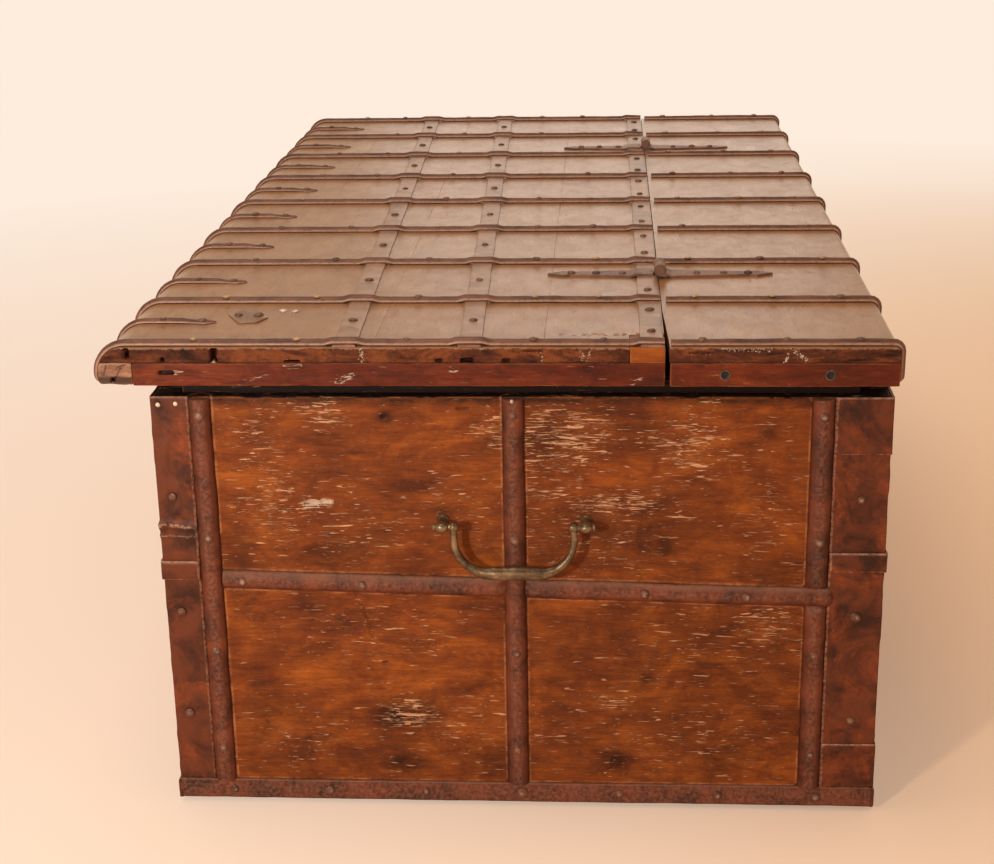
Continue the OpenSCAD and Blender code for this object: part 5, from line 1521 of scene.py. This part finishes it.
def corner_sheets():
    foot = high("front_foot_band")[2] + 0.2 * MM
    reaches = {
        -1: high("corner_iron_front_right")[1] - FRONT_Y,
        1: BACK_Y - low("corner_iron_back_right")[1],
    }
    face_reach = END_X - low("corner_iron_front_right")[0]
    for side_x, x_name in ENDS:
        for side_y, y_name in FACES:
            node = f"corner_iron_{y_name}_{x_name}"
            sheet = bent_sheet(side_x, side_y, reaches[side_y], face_reach, OFF_WALL, SHEET_T - OFF_WALL,
                               foot, WALL_TOP, 1.4 * MM, 60 + side_x + 2 * side_y,
                               WRINKLES if side_y < 0 else ())
            sheet_piece(node, [sheet])
    clips, plates = [], []
    for side_x, _ in ENDS:
        for side_y, y_name in FACES:
            z = middle(f"{y_name}_mid_band", 2)
            clips.append(bent_sheet(side_x, side_y, reaches[side_y] - 0.5 * MM, face_reach, SHEET_T, CLIP_T,
                                    z - BAND_HALF, z + BAND_HALF, 0.8 * MM, 70 + side_x + 2 * side_y))
        for z_low, z_high in ((WALL_TOP - HEAD_PLATE_H, WALL_TOP), (foot, foot + FOOT_PLATE_H)):
            plates.append(bent_sheet(side_x, 1, reaches[1] - 0.5 * MM, face_reach - 4 * MM, SHEET_T,
                                     CLIP_T / 2, z_low, z_high, 0.8 * MM, 75 + side_x))
    sheet_piece("corner_clips", clips)
    sheet_piece("corner_plates", plates)


corner_sheets()


# Handles
def turned(profile, place, side):
    """A solid turned about X. profile pairs are distance from the chest's middle and radius."""
    angles = np.linspace(0, 2 * math.pi, 28, endpoint=False)
    spokes = np.stack([np.zeros(28), -np.cos(angles), -np.sin(angles)], axis=1)
    rings = np.array([place + np.array([side * along, 0, 0]) + spokes * radius for along, radius in profile])
    points, faces = loft_mesh(rings)
    return points, faces, {"ridge": np.full(len(points), 0.6)}


PIVOT = np.array([END_X + 18 * MM, middle("right_bail", 1), 312 * MM])
LEG = 57.5 * MM
POST = LEG + 11.5 * MM
DROP = 48 * MM
BEND_R = 34 * MM
# How much the ball's upper and lower faces are flattened
BALL_FLAT = 0.3
BALL_R = 7 * MM
INNER_FACE = END_X - WALL_T
SHANK_R = 4 * MM
# Profiles: distance from the chest's middle and radius
BALL = [(PIVOT[0] + BALL_R * math.sin(a), BALL_R * math.cos(a)) for a in np.radians(np.arange(-52, 90, 9))]
POST_PROFILE = [
    (INNER_FACE - 2.8 * MM, 3.2 * MM), (INNER_FACE - 2.4 * MM, SHANK_R),
    (END_X + OFF_WALL, SHANK_R), (END_X + OFF_WALL, 5.6 * MM), (END_X + 0.7 * MM, 5.9 * MM),
    (END_X + 1.6 * MM, 5.2 * MM), (END_X + 2.4 * MM, 4.4 * MM), (END_X + 4 * MM, 4.2 * MM),
    (END_X + 9 * MM, 4.0 * MM), *BALL, (PIVOT[0] + BALL_R, 0.3 * MM),
]
WASHER_PROFILE = [
    (INNER_FACE - 2 * MM, 4.2 * MM), (INNER_FACE - 2 * MM, 8.6 * MM),
    (INNER_FACE - 0.1 * MM, 9 * MM), (INNER_FACE - 0.05 * MM, 4.2 * MM),
]
# Turned-out end of a bail in mm: distance beyond its leg and radius
BAIL_END = ((-4.2, 3.0), (-3.4, 4.2), (0, 4.7), (2.6, 4.5), (3.2, 3.0), (4.2, 2.8), (18.4, 2.8), (18.8, 3.6),
            (19.3, 4.1), (20.2, 3.4), (20.6, 1.6))
# Half of the bail's thickness at its legs, and what the grip adds to it
LEG_R = 3.3 * MM
GRIP_SWELL = 3.5 * MM


def handle_posts():
    for side, name in ENDS:
        parts = []
        for end in (-1, 1):
            place = np.array([0.0, PIVOT[1] + end * POST, PIVOT[2]])
            post = turned(POST_PROFILE, place, side)
            points = post[0]
            reach = np.abs(points[:, 0])
            in_ball = spot(reach - PIVOT[0], 12 * MM) * (reach > END_X + 7 * MM)
            points[:, 2] = PIVOT[2] + (points[:, 2] - PIVOT[2]) * (1 - BALL_FLAT * in_ball)
            parts += [post, turned(WASHER_PROFILE, place, side)]
        closed_piece(f"{name}_handle_posts", parts, bail_bronze, "case")


def bail_stations(side):
    """Stations down one leg, along the grip and up the other leg."""
    half = [(LEG, 3 * MM, -90), (LEG, 0, -90)]
    centre_y, centre_z = LEG - BEND_R, -DROP + BEND_R
    half += [(centre_y + BEND_R * math.cos(a), centre_z + BEND_R * math.sin(a), math.degrees(a) - 90)
             for a in np.radians(np.linspace(0, -90, 13))]
    half += [(centre_y * (1 - i / 5), -DROP, -180) for i in range(1, 5)]
    line = half + [(0, -DROP, -180)] + [(-y, z, -angle - 360) for y, z, angle in half[::-1]]
    stations = []
    for y, z, angle in line:
        swell = min(1, max(0, 1.15 - abs(y) / LEG))
        radius = LEG_R + (0 if z > -DROP / 3 else swell * swell * (3 - 2 * swell)) * GRIP_SWELL
        turn = math.radians(angle)
        across = (0, -math.sin(turn), math.cos(turn))
        place = (side * PIVOT[0], PIVOT[1] + y, PIVOT[2] + z)
        stations.append((place, across, (side, 0, 0), radius / MM, radius / MM))
    return stations


def pin_stations(side, end):
    """The turned-out end of a bail, through its post."""
    stations = []
    for reach, radius in BAIL_END:
        place = (side * PIVOT[0], PIVOT[1] + end * (LEG + reach * MM), PIVOT[2])
        stations.append((place, (0, 0, 1), (side, 0, 0), radius, radius))
    return stations


def bails():
    for side, name in ENDS:
        node = f"{name}_bail"
        paths = [bail_stations(side), pin_stations(side, -1), pin_stations(side, 1)]
        forged_bars(node, paths, bail_bronze, node, "handle_iron", width=2 * MM, height=1 * MM, under=1.0,
                    wander=0.0, swell=0.03, dents=0.25 * MM, dent_size=7 * MM, step=0.9 * MM, around=28,
                    seed=50.0 + side)


# Head of a bolt in mm: distance beyond its outer end, radius, and paleness of its rim, which paints a
# highlight there
BOLT_HEAD = ((-2, 3.5, 0.0), (-2, 5.0, 0.3), (0.1, 5.0, 0.8), (0.35, 4.7, 1.0), (0.25, 4.0, 0.7),
             (0, 3.6, 0.0), (0, 0.3, 0.0))
BOLT_R = 3.5 * MM


def rail_bolts():
    """Bolts through the rear rails, their heads' grey rims, worn and with a painted highlight, round a dark
    hollow of painted shade.
    """
    parts = []
    for corners in solids("rail_bolts"):
        inner, reach = sorted(abs(corner[0]) for corner in corners)
        side = 1 if corners[1][0] > 0 else -1
        place = (corners[0] + corners[1]) / 2 * [0, 1, 1]
        profile = [(inner, BOLT_R)] + [(reach + along * MM, radius * MM) for along, radius, _ in BOLT_HEAD]
        points, faces, values = turned(profile, place, side)
        paleness = [0.0] + [pale for _, _, pale in BOLT_HEAD]
        values["ridge"] = np.repeat(paleness, len(points) // len(profile))
        parts.append((points, faces, values))
    closed_piece("rail_bolts", parts, bolt_iron, "case")


handle_posts()
bails()
rail_bolts()


# Parts shown as they are
def plain(material, *nodes):
    for node in nodes:
        mesh = frame["nodes"][node].data
        mesh.materials.clear()
        mesh.materials.append(material)


plain(inner_wood, "bottom_boards", "rear_long_rails", "flap_front_rail", "flap_hinge_rail", "flap_battens")
plain(plain_iron, "hinge_pins", "hasp", "hasp_eye", "hasp_pin", "hasp_staple", "flap_hinge_leaves",
      "rear_hinge_leaves")


# Stage, light and camera
CAMERA_PLACE = (2.270, 0.0838, 0.9556)
CAMERA_DEGREES = (-3.66, 18.90, -1.04)
CAMERA_LENS = 65.26


def camera():
    """The photograph's camera. Its place, turn and lens were worked out from the chest's corners there."""
    yaw, pitch, roll = (math.radians(angle) for angle in CAMERA_DEGREES)
    level = Vector((-math.cos(yaw), math.sin(yaw), 0))
    right = Vector((math.sin(yaw), math.cos(yaw), 0))
    forward = math.cos(pitch) * level - math.sin(pitch) * Vector((0, 0, 1))
    up = math.sin(pitch) * level + math.cos(pitch) * Vector((0, 0, 1))
    turned_right = math.cos(roll) * right + math.sin(roll) * up
    turned_up = -math.sin(roll) * right + math.cos(roll) * up
    data = bpy.data.cameras.new("camera")
    data.lens = CAMERA_LENS
    data.sensor_width = 36
    data.clip_end = 60
    own = bpy.data.objects.new("camera", data)
    bpy.context.scene.collection.objects.link(own)
    turn = Matrix((turned_right, turned_up, -forward)).transposed().to_4x4()
    own.matrix_world = Matrix.Translation(CAMERA_PLACE) @ turn
    bpy.context.scene.camera = own


def lamp(name, place, aim, size, power, colour):
    """A round lamp at a place, turned to a point: its size in metres, power in watts and colour."""
    data = bpy.data.lights.new(name, "AREA")
    data.shape = "DISK"
    data.size = size
    data.energy = power
    data.color = colour
    own = bpy.data.objects.new(name, data)
    own.location = place
    own.rotation_euler = (Vector(aim) - Vector(place)).to_track_quat("-Z", "Y").to_euler()
    own.visible_camera = False
    bpy.context.scene.collection.objects.link(own)


BACKDROP = paint(254, 236, 220)
# What shiny boards and irons mirror instead of the backdrop
MIRRORED = paint(255, 228, 198)
# Colour of the painted shade on the floor towards +Y
FLOOR_SHADE = paint(232, 190, 148)
FLOOR_REACH = 14


def floor():
    """A pale floor that turns into the backdrop's colour away from the chest.

    Near the chest it has painted light towards -Y and painted shade towards +Y.
    """
    mesh = bpy.data.meshes.new("floor")
    corners = [(x * FLOOR_REACH, y * FLOOR_REACH, 0) for x, y in ((-1, -1), (1, -1), (1, 1), (-1, 1))]
    mesh.from_pydata(corners, [], [(0, 1, 2, 3)])
    own = bpy.data.objects.new("floor", mesh)
    finish = Finish("floor_paint", roughness=0.9, gloss=0.1)
    finish.shader.inputs["Base Color"].default_value = paint(250, 203, 158)
    far = finish.out(finish.vector("LENGTH", finish.place), "Value")
    aside = finish.out(finish.add("ShaderNodeSeparateXYZ", {0: finish.place}), "Y")
    path = finish.add("ShaderNodeLightPath")
    seen = finish.math("MAXIMUM", finish.out(path, "Is Camera Ray"), finish.out(path, "Is Glossy Ray"))
    # The glow is stronger towards -Y: painted light on that side of the floor
    near = finish.spread(aside, -0.5, 0.6, 0.5, 0.12)
    share = finish.times(finish.spread(far, 0.5, 2.8, near, 1.0), seen)
    # Painted shade: the glow turns darker and warmer towards +Y
    floor_shade_share = finish.times(finish.spread(aside, 0.1, 1.2), finish.spread(far, 3.4, 1.2))
    shade = finish.mix(floor_shade_share, BACKDROP, FLOOR_SHADE)
    glow = finish.add("ShaderNodeEmission", {"Color": shade, "Strength": 1.0})
    both = finish.add("ShaderNodeMixShader", {0: share, 1: finish.out(finish.shader), 2: finish.out(glow)})
    output = next(node for node in finish.tree.nodes if node.bl_idname == "ShaderNodeOutputMaterial")
    finish.tree.links.new(finish.out(both), output.inputs["Surface"])
    mesh.materials.append(finish.material)
    bpy.context.scene.collection.objects.link(own)


def world():
    own = bpy.data.worlds.new("world")
    own.use_nodes = True
    bpy.context.scene.world = own
    nodes = Nodes(own.node_tree)
    own.node_tree.nodes.clear()
    path = nodes.add("ShaderNodeLightPath")
    glossy = nodes.out(path, "Is Glossy Ray")
    way = nodes.add("ShaderNodeSeparateXYZ", {0: nodes.out(nodes.add("ShaderNodeTexCoord"), "Generated")})
    mirrored = nodes.spread(nodes.out(way, "Z"), 0.75, 0.2, 0.25, 1.0)
    unseen = nodes.spread(glossy, 0.0, 1.0, 0.62, mirrored)
    seen = nodes.math("MAXIMUM", nodes.out(path, "Is Camera Ray"), nodes.out(path, "Is Transmission Ray"))
    strength = nodes.spread(seen, 0.0, 1.0, unseen, 1.0)
    shade = nodes.add("ShaderNodeMix", {"Factor": glossy, "A": BACKDROP, "B": MIRRORED}, data_type="RGBA")
    back = nodes.add("ShaderNodeBackground", {"Color": nodes.out(shade, "Result"), "Strength": strength})
    nodes.add("ShaderNodeOutputWorld", {"Surface": back})


camera()
floor()
world()
lamp("key", (2.05, -0.8, 0.76), (0.6, 0.0, 0.3), 0.16, 18.5, (1.0, 0.95, 0.88))
lamp("top", (0.2, -0.6, 2.9), (0.0, 0.0, 0.4), 1.6, 27, (1.0, 0.97, 0.93))
lamp("back", (-3.2, 0.1, 1.1), (-0.4, 0.0, 0.45), 1.5, 4.5, (1.0, 0.96, 0.92))
bpy.context.scene.view_settings.view_transform = "Standard"
